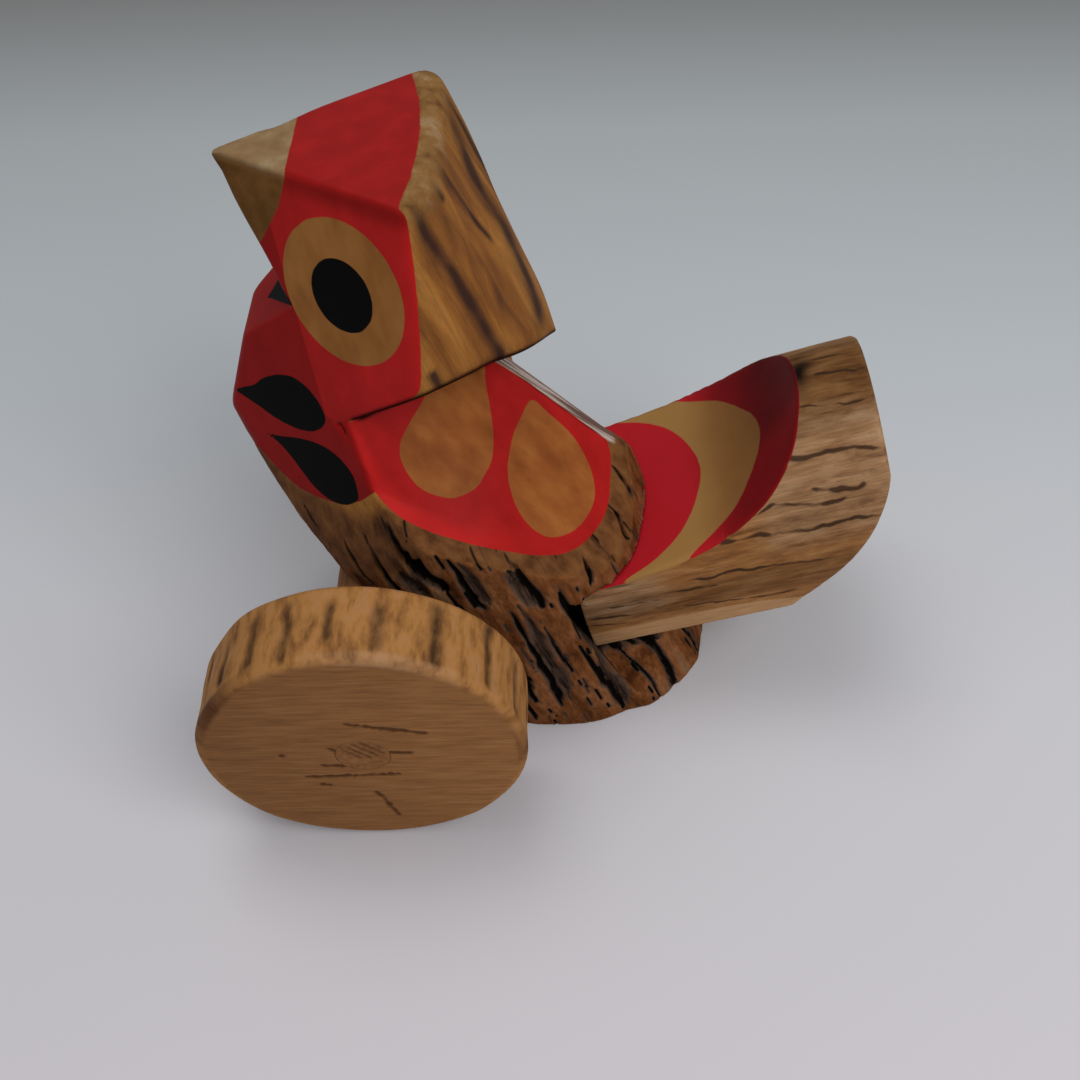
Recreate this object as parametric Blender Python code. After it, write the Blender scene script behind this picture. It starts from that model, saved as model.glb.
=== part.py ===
"""Wheeled bird toy carved from a branch: a leaning log bird with a scooped tail,
rolling on two branch slices that turn with their axle in a bore through the log.

Metres, +Z up.  The bird faces -X, the wheel axis runs along Y, and the ground is
z = 0.  The origin is the middle of the toy's footprint box, on the ground.
"""
import bmesh
import bpy
import numpy as np
from math import atan, cos, pi, radians, sin
from mathutils import Matrix, Vector

MM = 0.001

# Fits
GAP = 0.3 * MM            # clearance between neighbouring pieces
BORE_WALL = 1.1 * MM      # bark left in front of the axle bore
SIDES = 96                # facets round a log, wheel or axle

# Wheels and axle
WHEEL_R = 30.0 * MM
WHEEL_T = 16.0 * MM
WHEEL_ROUND = 1.6 * MM
TRACK = 112.8 * MM        # outer face to outer face
AXLE_R = 8.0 * MM
TENON_R = 5.0 * MM
TENON_SHY = 0.2 * MM      # tenon end below the wheel's face
AXLE_EDGE = 0.5 * MM

# Log: round stock, leaning forward over its sawn foot
LOG_R = 32.3 * MM         # over the bark
WOOD_R = 28.8 * MM        # under the bark
BARK_TOP = 80.0 * MM      # the bark stock ends inside the carved part
LEAN = radians(20.2)

# Crown and beak, in the log's own frame: back, side, along the log
BEAK_BACK = -8.0 * MM
BEAK_ALONG = 127.8 * MM
CROWN_FALL = 0.305        # the crown drops towards the nape
NAPE_BACK = 24.9 * MM     # flat on the back of the head
NAPE_SLOPE = 0.09
CROWN_CHAMFER = 0.7 * MM

# Cheeks, throat and breast
CHEEK_OUT = (-0.449, -0.818, 0.359)
CHEEK_NEAR = 49.2 * MM
CHEEK_FAR = 50.0 * MM     # hand-sawn: a little fuller than the near one
THROAT_BACK = -7.5 * MM
CHIN_ALONG = 106.8 * MM
CHIN_SLOPE = 0.40
BREAST_OUT = (-0.773, 0.0, 0.635)
BREAST_OFFSET = 78.5 * MM

# Saw notch behind the head, and the wing flats below it
NOTCH_ALONG = 73.5 * MM
NOTCH_RISE_BACK = 0.10
NOTCH_RISE_SIDE = 0.60
RIDGE_OUT = (0.873, 0.0, 0.488)
RIDGE_OFFSET = 49.2 * MM
WING_FALL = {-1: radians(28.0), 1: radians(35.5)}   # steeper on the far side

# Tail: a shorter branch, seated in a slot across the back of the log
TAIL_R = 22.6 * MM        # half its width
TAIL_HIGH = 24.2 * MM     # above the branch's axis
TAIL_DEEP = 30.0 * MM     # below it, before the floor is sawn off
TAIL_RISE = atan(0.32)
TAIL_X = 60.0 * MM        # a point on the branch's axis, measured from the axle
TAIL_Z = 35.3 * MM
TAIL_END = 42.3 * MM      # end face, along the branch from that point
TAIL_KNEE = 11.3 * MM     # the undercut starts this far above the branch's axis
TAIL_UNDERCUT = 0.69
TAIL_FLOOR = 19.0 * MM    # sawn underside
SIDE_TOP = (21.1 * MM, 10.7 * MM)
SIDE_FOOT = (18.8 * MM, 19.0 * MM)
SEAT_X = 42.0 * MM
SCOOP = ((38.0, 31.8), (62.3, 42.3), (80.1, 50.5), (82.3, 76.0))   # curve controls, mm
SCOOP_SAG = 1.2 * MM

# Hidden dowel between tail and log
DOWEL_R = 4.0 * MM
DOWEL_L = 30.0 * MM
DOWEL_DOWN = 5.0 * MM

# Follows from the sizes above
INNER_FACE = TRACK / 2 - WHEEL_T
BORE_R = AXLE_R + GAP
LOG_TO_AXLE = LOG_R - BORE_R - BORE_WALL
FOOT_X = (LOG_TO_AXLE + WHEEL_R * sin(LEAN)) / cos(LEAN)
LOG_BACK = Vector((cos(LEAN), 0, sin(LEAN)))
LOG_UP = Vector((-sin(LEAN), 0, cos(LEAN)))
TAIL_BACK = Vector((cos(TAIL_RISE), 0, sin(TAIL_RISE)))
TAIL_UP = Vector((-sin(TAIL_RISE), 0, cos(TAIL_RISE)))
FAR = 6 * LOG_R


def clear_scene():
    """Empty the scene before building."""
    for thing in list(bpy.data.objects):
        bpy.data.objects.remove(thing, do_unlink=True)


def material(name, colour, roughness):
    """One plain surface material."""
    mat = bpy.data.materials.new(name)
    mat.use_nodes = True
    shader = mat.node_tree.nodes["Principled BSDF"]
    shader.inputs["Base Color"].default_value = (*colour, 1.0)
    shader.inputs["Roughness"].default_value = roughness
    mat.diffuse_color = (*colour, 1.0)
    return mat


def solid(name, bm):
    """Turn a bmesh into an object with its faces pointing outward."""
    bmesh.ops.recalc_face_normals(bm, faces=bm.faces)
    mesh = bpy.data.meshes.new(name)
    bm.to_mesh(mesh)
    bm.free()
    thing = bpy.data.objects.new(name, mesh)
    bpy.context.collection.objects.link(thing)
    return thing


def log_point(back, side, along):
    """A point stated in the log's own frame."""
    return Vector((FOOT_X, side, 0)) + back * LOG_BACK + along * LOG_UP


def log_direction(back, side, along):
    """A direction stated in the log's own frame."""
    return (back * LOG_BACK + along * LOG_UP + Vector((0, side, 0))).normalized()


def other_side(direction, side):
    """A direction stated for the -Y side, mirrored when side is +1."""
    back, across, along = direction
    return back, -side * across, along


def tail_point(along, up, side=0.0):
    """A point stated in the tail branch's own frame."""
    return Vector((TAIL_X, side, TAIL_Z)) + along * TAIL_BACK + up * TAIL_UP


def slice_off(bm, point, normal):
    """Saw a solid along a plane and cap it, losing the side the normal points to."""
    everything = bm.verts[:] + bm.edges[:] + bm.faces[:]
    sawn = bmesh.ops.bisect_plane(bm, geom=everything, plane_co=point, plane_no=normal,
                                  clear_outer=True, dist=1e-7)
    rim = [item for item in sawn["geom_cut"] if isinstance(item, bmesh.types.BMEdge)]
    if rim:
        bmesh.ops.holes_fill(bm, edges=rim)


def block(*planes):
    """A big block sawn down by (point, normal) planes."""
    bm = bmesh.new()
    bmesh.ops.create_cube(bm, size=2 * FAR)
    for point, normal in planes:
        slice_off(bm, point, normal)
    return bm


def rod(radius, start, end, sides=SIDES):
    """A straight round bar between two points."""
    start = Vector(start)
    run = Vector(end) - start
    turn = run.to_track_quat("Z", "Y").to_matrix().to_4x4()
    bm = bmesh.new()
    bmesh.ops.create_cone(bm, cap_ends=True, segments=sides, radius1=radius,
                          radius2=radius, depth=run.length,
                          matrix=Matrix.Translation(start + run / 2) @ turn)
    return bm


def turned(profile, sides=SIDES):
    """A lathe-turned piece about the Y axis from (radius, y) points."""
    bm = bmesh.new()
    points = [bm.verts.new((radius, y, 0)) for radius, y in profile]
    lines = [bm.edges.new(pair) for pair in zip(points, points[1:])]
    if profile[0][0] > 0:
        lines.append(bm.edges.new((points[-1], points[0])))
    bmesh.ops.spin(bm, geom=points + lines, cent=(0, 0, 0), axis=(0, 1, 0),
                   angle=2 * pi, steps=sides, use_merge=True)
    bmesh.ops.remove_doubles(bm, verts=bm.verts, dist=1e-6)
    return bm


def rounded(radius, y, size, sign, steps=4):
    """Profile points of a rounded rim at radius and y; sign is the face's side."""
    turn = [step * pi / 2 / steps for step in range(steps + 1)]
    arc = [(radius - size + size * cos(a), y - sign * (size - size * sin(a)))
           for a in turn]
    return arc if sign > 0 else arc[::-1]


def bake(thing, kind, **settings):
    """Run a modifier and keep its result as the object's mesh."""
    step = thing.modifiers.new(kind.title(), kind)
    for key, value in settings.items():
        setattr(step, key, value)
    view = bpy.context.evaluated_depsgraph_get()
    result = bpy.data.meshes.new_from_object(thing.evaluated_get(view))
    thing.modifiers.remove(step)
    before = thing.data
    thing.data = result
    bpy.data.meshes.remove(before)
    result.name = thing.name


def combine(thing, tool_bm, operation="DIFFERENCE"):
    """Cut a tool out of an object, or join it on."""
    tool = solid("tool", tool_bm)
    bake(thing, "BOOLEAN", operation=operation, solver="EXACT", object=tool)
    bpy.data.objects.remove(tool, do_unlink=True)


def finish(thing, mat):
    """Material and smooth shading with crisp edges."""
    thing.data.materials.clear()
    thing.data.materials.append(mat)
    thing.data.shade_smooth()
    thing.data.set_sharp_from_angle(angle=radians(28))


def carve_head(body):
    """Nape flat, crown chamfer, throat under the beak, and the breast's front."""
    throat = block((log_point(THROAT_BACK, 0, 0), LOG_BACK),
                   (log_point(0, 0, CHIN_ALONG), log_direction(CHIN_SLOPE, 0, -1)))
    combine(body, throat)

    breast_out = log_direction(*BREAST_OUT)
    combine(body, block((log_point(0, 0, 0) + BREAST_OFFSET * breast_out, -breast_out),
                        (log_point(1.5 * THROAT_BACK, 0, 0), LOG_BACK)))

    nape_along = BEAK_ALONG - CROWN_FALL * (NAPE_BACK - BEAK_BACK)
    nape = log_point(NAPE_BACK, 0, nape_along)
    combine(body, block((nape, -log_direction(1, 0, NAPE_SLOPE)),
                        (log_point(0, 0, NOTCH_ALONG), -LOG_UP)))
    edge_out = log_direction(0.8, 0, 0.6)
    combine(body, block((nape - CROWN_CHAMFER * edge_out, -edge_out)))


def cut_notch(body):
    """Saw notch under the back of the head, leaving the two wing flats."""
    ridge_out = log_direction(*RIDGE_OUT)
    for side in (-1, 1):
        fall = WING_FALL[side]
        wing_out = cos(fall) * ridge_out + Vector((0, side * sin(fall), 0))
        under_head = log_direction(-NOTCH_RISE_BACK, -side * NOTCH_RISE_SIDE, 1)
        combine(body, block((log_point(0, 0, 0) + RIDGE_OFFSET * ridge_out, -wing_out),
                            (log_point(0, 0, NOTCH_ALONG), under_head)))


def scoop_tool(lift):
    """Everything above the tail's scooped top, raised by lift."""
    steps = np.linspace(0, 1, 25)[:, None]
    a, b, c, d = np.array(SCOOP) * MM
    curve = ((1 - steps) ** 3 * a + 3 * (1 - steps) ** 2 * steps * b
             + 3 * (1 - steps) * steps ** 2 * c + steps ** 3 * d)
    across = np.linspace(-2 * TAIL_R, 2 * TAIL_R, 21)
    sag = SCOOP_SAG * np.clip(1 - (across / TAIL_R) ** 2, 0, 1)
    bm = bmesh.new()
    rows = [[bm.verts.new((x, y, z + lift - dip)) for y, dip in zip(across, sag)]
            for x, z in curve]
    for row, after in zip(rows, rows[1:]):
        for corner in range(len(across) - 1):
            bm.faces.new((row[corner], row[corner + 1],
                          after[corner + 1], after[corner]))
    raised = bmesh.ops.extrude_face_region(bm, geom=bm.faces[:])
    for item in raised["geom"]:
        if isinstance(item, bmesh.types.BMVert):
            item.co.z = FAR
    return bm


def tail_stock(outline, grow):
    """Branch stock with the given (side, up) outline, seated and sawn flat below."""
    bm = bmesh.new()
    face = bm.faces.new([bm.verts.new(tail_point(-FAR / 2, up, side))
                         for side, up in outline])
    drawn = bmesh.ops.extrude_face_region(bm, geom=[face])
    ends = [item for item in drawn["geom"] if isinstance(item, bmesh.types.BMVert)]
    bmesh.ops.translate(bm, verts=ends, vec=FAR * TAIL_BACK)
    slice_off(bm, (SEAT_X - grow, 0, 0), (-1, 0, 0))
    slice_off(bm, tail_point(0, -TAIL_FLOOR - grow), -TAIL_UP)
    return bm


def dowel_bar(radius, length):
    """Bar centred on the joint between tail and log."""
    along = (SEAT_X - TAIL_X - DOWEL_DOWN * sin(TAIL_RISE)) / cos(TAIL_RISE)
    half = length / 2
    return rod(radius, tail_point(along - half, -DOWEL_DOWN),
               tail_point(along + half, -DOWEL_DOWN), 48)


def build_log():
    """The carved log with its slot for the tail and its bore for the axle."""
    foot = log_point(0, 0, -LOG_R)
    body = solid("body_log", rod(WOOD_R, foot, log_point(0, 0, 1.1 * BEAK_ALONG)))
    bark = rod(LOG_R, foot, log_point(0, 0, BEAK_ALONG))
    slice_off(bark, log_point(0, 0, BARK_TOP), log_direction(0.4, 0, 1))
    combine(body, bark, "UNION")

    beak = log_point(BEAK_BACK, 0, BEAK_ALONG)
    combine(body, block((beak, -log_direction(CROWN_FALL, 0, 1))))
    for side, offset in ((-1, CHEEK_NEAR), (1, CHEEK_FAR)):
        cheek_out = log_direction(*other_side(CHEEK_OUT, side))
        combine(body, block((log_point(0, 0, 0) + offset * cheek_out, -cheek_out)))
    combine(body, block(((0, 0, 0), (0, 0, 1))))
    carve_head(body)
    cut_notch(body)

    slot = solid("slot", tail_stock([(-FAR / 2, -FAR / 2), (FAR / 2, -FAR / 2),
                                     (FAR / 2, FAR / 2), (-FAR / 2, FAR / 2)], GAP))
    combine(slot, scoop_tool(GAP))
    bm = bmesh.new()
    bm.from_mesh(slot.data)
    bpy.data.objects.remove(slot, do_unlink=True)
    combine(body, bm)
    combine(body, dowel_bar(DOWEL_R + GAP, DOWEL_L + 2 * GAP))
    combine(body, rod(BORE_R, (0, -TRACK, WHEEL_R), (0, TRACK, WHEEL_R)))
    return body


def build_tail():
    """The tail branch: scooped top, sawn sides and floor, undercut end."""
    angles = np.linspace(0, 2 * pi, SIDES, endpoint=False)
    outline = [(TAIL_R * cos(a), (TAIL_HIGH if a < pi else TAIL_DEEP) * sin(a))
               for a in angles]
    bm = tail_stock(outline, 0)
    run = (SIDE_TOP[0] - SIDE_FOOT[0], SIDE_TOP[1] - SIDE_FOOT[1])
    for side in (-1, 1):
        out = Vector((0, -side * run[1], 0)) - run[0] * TAIL_UP
        slice_off(bm, tail_point(0, -SIDE_TOP[1], side * SIDE_TOP[0]), out)
    slice_off(bm, tail_point(TAIL_END, 0), TAIL_BACK)
    slice_off(bm, tail_point(TAIL_END, TAIL_KNEE), TAIL_BACK - TAIL_UNDERCUT * TAIL_UP)
    tail = solid("tail", bm)
    combine(tail, scoop_tool(0))
    combine(tail, dowel_bar(DOWEL_R + GAP, DOWEL_L + 2 * GAP))
    return tail


def build_wheel(name, side):
    """A branch slice bored for the axle's tenon."""
    half = WHEEL_T / 2
    bore = TENON_R + GAP
    profile = ([(bore, -half)] + rounded(WHEEL_R, -half, WHEEL_ROUND, -1)
               + rounded(WHEEL_R, half, WHEEL_ROUND, 1) + [(bore, half)])
    wheel = solid(name, turned(profile))
    wheel.location = (0, side * (TRACK / 2 - half), WHEEL_R)
    return wheel


def build_axle():
    """A thick turned bar with a thinner tenon at each end."""
    tip = TRACK / 2 - TENON_SHY
    shoulder = INNER_FACE - GAP
    half = [(AXLE_R, shoulder - AXLE_EDGE), (AXLE_R - AXLE_EDGE, shoulder),
            (TENON_R, shoulder), (TENON_R, tip - AXLE_EDGE),
            (TENON_R - AXLE_EDGE, tip), (0, tip)]
    profile = [(radius, -y) for radius, y in half[::-1]] + half
    axle = solid("axle", turned(profile))
    axle.location = (0, 0, WHEEL_R)
    return axle


def centre_footprint(things):
    """Slide everything so that the box around it is centred over the origin."""
    bpy.context.view_layer.update()
    reach = [(thing.matrix_world @ vert.co).x for thing in things
             for vert in thing.data.vertices]
    for thing in things:
        thing.location.x -= (min(reach) + max(reach)) / 2


clear_scene()
wood = {
    "body_log": material("oiled_log_wood", (0.30, 0.16, 0.08), 0.6),
    "tail": material("oiled_branch_wood", (0.36, 0.22, 0.11), 0.6),
    "tail_dowel": material("dowel_wood", (0.55, 0.38, 0.20), 0.7),
    "axle": material("axle_wood", (0.42, 0.26, 0.12), 0.6),
    "wheel_left": material("left_wheel_wood", (0.34, 0.19, 0.09), 0.6),
    "wheel_right": material("right_wheel_wood", (0.34, 0.19, 0.09), 0.6),
}
pieces = [build_log(), build_tail(), solid("tail_dowel", dowel_bar(DOWEL_R, DOWEL_L)),
          build_axle(), build_wheel("wheel_left", -1), build_wheel("wheel_right", 1)]
for piece in pieces:
    finish(piece, wood[piece.name])
centre_footprint(pieces)
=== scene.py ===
# %% [markdown]
# # A carved bird on branch wheels
# The toy is one leaning piece of branch, sawn into a head, breast and wings and painted
# on its flats. A second, shorter branch is its tail, and two branch slices are its wheels.
# Every skin below is worked out on a grid with numpy, in millimetres from the point of the
# floor below the axle, and is put into the row's frame in metres at the last moment.

# %% Load the fixed frame
import bpy
import numpy as np
from math import cos, pi, radians, sin
from mathutils import Matrix, Vector


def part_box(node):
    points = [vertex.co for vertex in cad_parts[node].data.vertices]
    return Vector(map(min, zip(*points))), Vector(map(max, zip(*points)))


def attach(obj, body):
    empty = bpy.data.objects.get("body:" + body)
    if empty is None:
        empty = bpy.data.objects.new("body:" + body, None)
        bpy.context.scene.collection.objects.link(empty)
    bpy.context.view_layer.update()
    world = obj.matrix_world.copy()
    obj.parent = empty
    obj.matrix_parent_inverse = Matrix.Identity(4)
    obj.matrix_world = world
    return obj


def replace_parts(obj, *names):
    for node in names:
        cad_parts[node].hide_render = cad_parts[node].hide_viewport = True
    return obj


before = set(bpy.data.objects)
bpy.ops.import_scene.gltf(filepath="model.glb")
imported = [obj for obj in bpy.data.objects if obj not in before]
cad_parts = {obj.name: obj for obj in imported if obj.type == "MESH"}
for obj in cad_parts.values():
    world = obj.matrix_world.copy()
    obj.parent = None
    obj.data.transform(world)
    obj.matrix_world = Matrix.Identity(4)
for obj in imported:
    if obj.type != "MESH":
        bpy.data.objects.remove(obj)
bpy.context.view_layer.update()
MM = 0.001
axle_low, axle_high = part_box("axle")
AXLE_X = (axle_low.x + axle_high.x) / 2 / MM
print("nodes", sorted(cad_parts), "axle at x =", round(AXLE_X, 2), "mm")

# %% [markdown]
# ## The camera
# The photograph looks down at 49 degrees, square to the toy's side, from about a hand's
# length above it. The lens follows from the picture's perspective.

# %% Place the camera
AZIMUTH, ELEVATION, ROLL = radians(0.64), radians(49.01), radians(-1.63)
CAMERA_AT = np.array([34.3, -166.6, 215.3])     # in mm from the floor below the axle
FOCAL_LENGTH, PICTURE_WIDTH = 1179.35, 1080     # both in the photograph's pixels
towards = Vector((sin(AZIMUTH) * cos(ELEVATION),
                  -cos(AZIMUTH) * cos(ELEVATION), sin(ELEVATION)))
across = (-towards).cross(Vector((0, 0, 1))).normalized()
upward = across.cross(-towards)
camera_x = cos(ROLL) * across + sin(ROLL) * upward
camera_y = cos(ROLL) * upward - sin(ROLL) * across
camera = bpy.data.objects.new("camera", bpy.data.cameras.new("camera"))
bpy.context.scene.collection.objects.link(camera)
camera.data.sensor_width = 36
camera.data.lens = FOCAL_LENGTH / PICTURE_WIDTH * camera.data.sensor_width
camera.data.clip_start = 0.01
camera.matrix_world = Matrix((
    (camera_x.x, camera_y.x, towards.x, (AXLE_X + CAMERA_AT[0]) * MM),
    (camera_x.y, camera_y.y, towards.y, CAMERA_AT[1] * MM),
    (camera_x.z, camera_y.z, towards.z, CAMERA_AT[2] * MM),
    (0, 0, 0, 1)))
bpy.context.scene.camera = camera
print("lens", round(camera.data.lens, 2), "mm")

# %% [markdown]
# ## Tools for every skin
# Small helpers do the shared work: an eased step, a soft minimum that rounds the edge
# where two sawn flats meet, smooth random heights, an average that wears an edge down, a
# spacing rule that puts more points where a profile bends, and the step to a mesh.

# %% Shape helpers
TURN = 2 * pi


def ease(low, high, x):
    """0 below low, 1 above high, and 3t^2 - 2t^3 between them, t being how far x has gone."""
    t = np.clip((x - low) / (high - low), 0, 1)
    return t * t * (3 - 2 * t)


def soft_min(a, b, width):
    """The smaller of a and b, lowered by up to width/4 where they differ by less than width."""
    h = np.clip(0.5 + 0.5 * (b - a) / width, 0, 1)
    return b * (1 - h) + a * h - width * h * (1 - h)


def angle_off(turn, at):
    """How far turn lies past `at`, from minus half a turn to half a turn."""
    return (turn - at + pi) % TURN - pi


def wander(x, y, repeat, seed):
    """Random heights from -1 to 1 on whole-number corners, eased between the corners;
    x closes on itself after `repeat` corners."""
    table = np.random.default_rng(seed).uniform(-1, 1, (repeat, 499))
    x0, y0 = np.floor(x).astype(int), np.floor(y).astype(int)
    fx, fy = ease(0, 1, x - x0), ease(0, 1, y - y0)
    corner = [[table[(x0 + i) % repeat, (y0 + j) % 499] for i in (0, 1)] for j in (0, 1)]
    first = corner[0][0] * (1 - fx) + corner[0][1] * fx
    second = corner[1][0] * (1 - fx) + corner[1][1] * fx
    return first * (1 - fy) + second * fy


print("a soft minimum of 5 and 5, 2 wide:", soft_min(5.0, 5.0, 2.0))


# %% Line helpers
def soften(lines, reach):
    """Each line of points averaged along itself with a bell curve `reach` samples wide;
    the ends stay where they are because the line is continued there by a half turn."""
    span = int(3 * reach)
    before = 2 * lines[:, :1] - lines[:, span:0:-1]
    after = 2 * lines[:, -1:] - lines[:, -2:-span - 2:-1]
    padded = np.concatenate([before, lines, after], axis=1)
    bell = np.exp(-0.5 * (np.arange(-span, span + 1) / reach) ** 2)
    bell /= bell.sum()
    count = lines.shape[1]
    return sum(weight * padded[:, k:k + count] for k, weight in enumerate(bell))


def respace(lines, count, crowd=0.0, ends=1.0):
    """Points (radius, along, on-a-cap) spread anew along each line, evenly in length times
    a density: 1 + crowd times the bend in radians per millimetre, and `ends` on the caps.
    The spread is averaged over neighbouring lines, so that the mesh's cells stay square."""
    step = np.diff(lines[..., :2], axis=1)
    length = np.linalg.norm(step, axis=2) + 1e-9
    heading = step / length[..., None]
    bend = np.linalg.norm(np.diff(heading, axis=1), axis=2) / length[:, 1:]
    density = np.ones_like(length)
    density[:, 1:] += crowd * np.clip(bend, 0, 1.2)
    density = soften(density[..., None], 6)[..., 0]
    density *= 1 + (ends - 1) * lines[:, 1:, 2]
    run = np.concatenate([np.zeros((len(lines), 1)),
                          np.cumsum(length * density, axis=1)], axis=1)
    run = run / run[:, -1:]
    bell = np.exp(-0.5 * (np.arange(-12, 13) / 5) ** 2)
    run = sum(weight * np.roll(run, shift, axis=0)
              for shift, weight in zip(range(-12, 13), bell / bell.sum()))
    run = run + 2 * np.arange(len(lines))[:, None]
    want = np.linspace(0, 1, count) + 2 * np.arange(len(lines))[:, None]
    return np.stack([np.interp(want, run.ravel(), lines[..., k].ravel())
                     for k in range(lines.shape[2])], axis=-1)


# %% From a grid to a mesh
def skin(name, grid, marks, ring_closed=False):
    """A closed mesh over grid[around, along] of points in metres. Neighbours around are
    joined into rings; the first and last point of every line are one shared tip, or with
    ring_closed the lines close on themselves. marks are numbers kept for every point."""
    around, along = grid.shape[:2]
    i = np.arange(around)[:, None]
    nxt = (i + 1) % around
    if ring_closed:
        j = np.arange(along)[None]
        cell = [i * along + j, nxt * along + j,
                nxt * along + (j + 1) % along, i * along + (j + 1) % along]
        points, faces = grid.reshape(-1, 3), np.stack(cell, -1).reshape(-1, 4).tolist()
        pick = np.arange(around * along)
    else:
        inner = along - 2
        j = np.arange(inner - 1)[None]
        cell = [i * inner + j, nxt * inner + j, nxt * inner + j + 1, i * inner + j + 1]
        faces = np.stack(cell, -1).reshape(-1, 4).tolist()
        first, last = around * inner, around * inner + 1
        i, nxt = i[:, 0], nxt[:, 0]
        faces += np.stack([i * inner, np.full(around, first), nxt * inner], -1).tolist()
        faces += np.stack([i * inner + inner - 1, nxt * inner + inner - 1,
                           np.full(around, last)], -1).tolist()
        pick = (np.arange(around)[:, None] * along + np.arange(1, along - 1)).ravel()
        pick = np.concatenate([pick, [0, along - 1]])
        points = grid.reshape(-1, 3)[pick]
    mesh = bpy.data.meshes.new(name)
    mesh.from_pydata(points.tolist(), [], faces)
    for mark, values in marks.items():
        values = np.asarray(values)
        kind = "FLOAT_VECTOR" if values.ndim == 3 else "FLOAT"
        layer = mesh.attributes.new(mark, kind, "POINT")
        flat = values.reshape(around * along, -1)[pick]
        layer.data.foreach_set("vector" if values.ndim == 3 else "value",
                               flat.astype(np.float32).ravel())
    mesh.shade_smooth()
    piece = bpy.data.objects.new(name, mesh)
    bpy.context.scene.collection.objects.link(piece)
    print(name, len(points), "points,", sum(len(face) - 2 for face in faces), "triangles")
    return piece


# %% [markdown]
# ## The painted outlines
# The maker drew teardrops, feathers and eyes by hand, then filled them in. A border stays
# crisp if the mesh keeps, for every point, how far inside the outline it lies: the
# material only has to ask where that distance passes zero.

# %% Distance to a painted outline
def inside(outline, x, y, curved=True):
    """How far (x, y) lies inside a closed outline in mm, negative outside: the distance to
    its nearest side. A curved outline is a Catmull-Rom curve through the given points."""
    p = np.array(outline, float)
    if curved:
        t = np.linspace(0, 1, 7, endpoint=False)[None, :, None]
        a, b, c, d = (np.roll(p, shift, 0)[:, None] for shift in (1, 0, -1, -2))
        p = 0.5 * (2 * b + (c - a) * t + (2 * a - 5 * b + 4 * c - d) * t ** 2
                   + (3 * b - a - 3 * c + d) * t ** 3)
        p = p.reshape(-1, 2)
    nearest = np.full(x.shape, 1e9)
    within = np.zeros(x.shape, bool)
    for (x0, y0), (x1, y1) in zip(p, np.roll(p, -1, 0)):
        dx, dy = x1 - x0, y1 - y0
        t = np.clip(((x - x0) * dx + (y - y0) * dy) / (dx * dx + dy * dy + 1e-12), 0, 1)
        nearest = np.minimum(nearest, (x - x0 - t * dx) ** 2 + (y - y0 - t * dy) ** 2)
        if dy:
            within ^= ((y0 <= y) != (y1 <= y)) & (x < x0 + (y - y0) * dx / dy)
    return np.where(within, 1, -1) * np.sqrt(nearest)


middle = inside([(0, 0), (2, 0), (2, 2), (0, 2)], np.array([1.0]), np.array([1.0]), False)
print("the middle of a 2 mm square lies", middle[0], "mm inside it")

# %% [markdown]
# ## The log
# A log is nearly a cylinder, so its skin is a radius for every turn about its axis and
# every height along it. Each saw cut is a flat, and a flat limits that radius: the
# smallest limit wins. Where the head overhangs the wings, the larger of two limits wins.

# %% The log's own frame
LEAN, FOOT_X = radians(20.2), 35.44
BACK = np.array([cos(LEAN), 0, sin(LEAN)])
ALONG = np.array([-sin(LEAN), 0, cos(LEAN)])
BARK_R, WOOD_R = 32.3, 28.8
AXLE_BACK, AXLE_ALONG = -22.9, 40.39            # where the axle crosses the log
CROWN_AT, CROWN_FALL = 125.36, 0.305            # height on the axis, drop per mm of back
FAR_OUT = 60                                    # the radius where no flat is in the way


def from_log(back, side, along):
    """Point in mm in the room: foot + back and along times the log's directions."""
    place = back[..., None] * BACK + along[..., None] * ALONG
    return place + np.stack([np.full_like(side, FOOT_X), side, np.zeros_like(side)], -1)


def reach(room, slope):
    """How far out a flat lets the skin go: room left at the axis over the flat's slope."""
    return np.clip(np.where(slope > 0.02, room / np.maximum(slope, 0.02), FAR_OUT), 0, FAR_OUT)


# %% Driving sizes of the sawn flats
CHEEK, CHEEK_AT = (-0.449, 0.818, 0.359), 49.2  # n over (back, outwards, along), and d in mm
FAR_CHEEK_AT = 50.0                             # hand-sawn: fuller than the near one
RIDGE, RIDGE_AT = (0.873, 0, 0.488), 49.2       # the edge where the two wings would meet
WING_FALL, FAR_WING_FALL = radians(28), radians(35.5)
NOTCH_AT = 73.5                                 # the saw cut under the head
THROAT_BACK, CHIN_AT, CHIN_SLOPE = 7.5, 106.8, 0.4
BREAST, BREAST_AT, BREAST_BACK = (0.773, 0, 0.635), 78.5, 11.25
NAPE_BACK, NAPE_SLOPE, NAPE_AT = 24.9, 0.09, 117.8


def ledge_rise(turn):
    """How far the head's underside climbs per mm outwards: 0.1 cos + 0.6 |sin|."""
    return 0.1 * np.cos(turn) + 0.6 * np.abs(np.sin(turn))


def strip_edges(along):
    """Near and far edge of the bare strip on the ridge, in mm to the far side. It runs down
    from 71.1 mm and leans over to the near side within 22.7 mm."""
    down = np.clip((71.1 - along) / 22.7, 0, 1)
    return 0.5 - 1.9 * down, 3.2 - 1.6 * down


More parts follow.
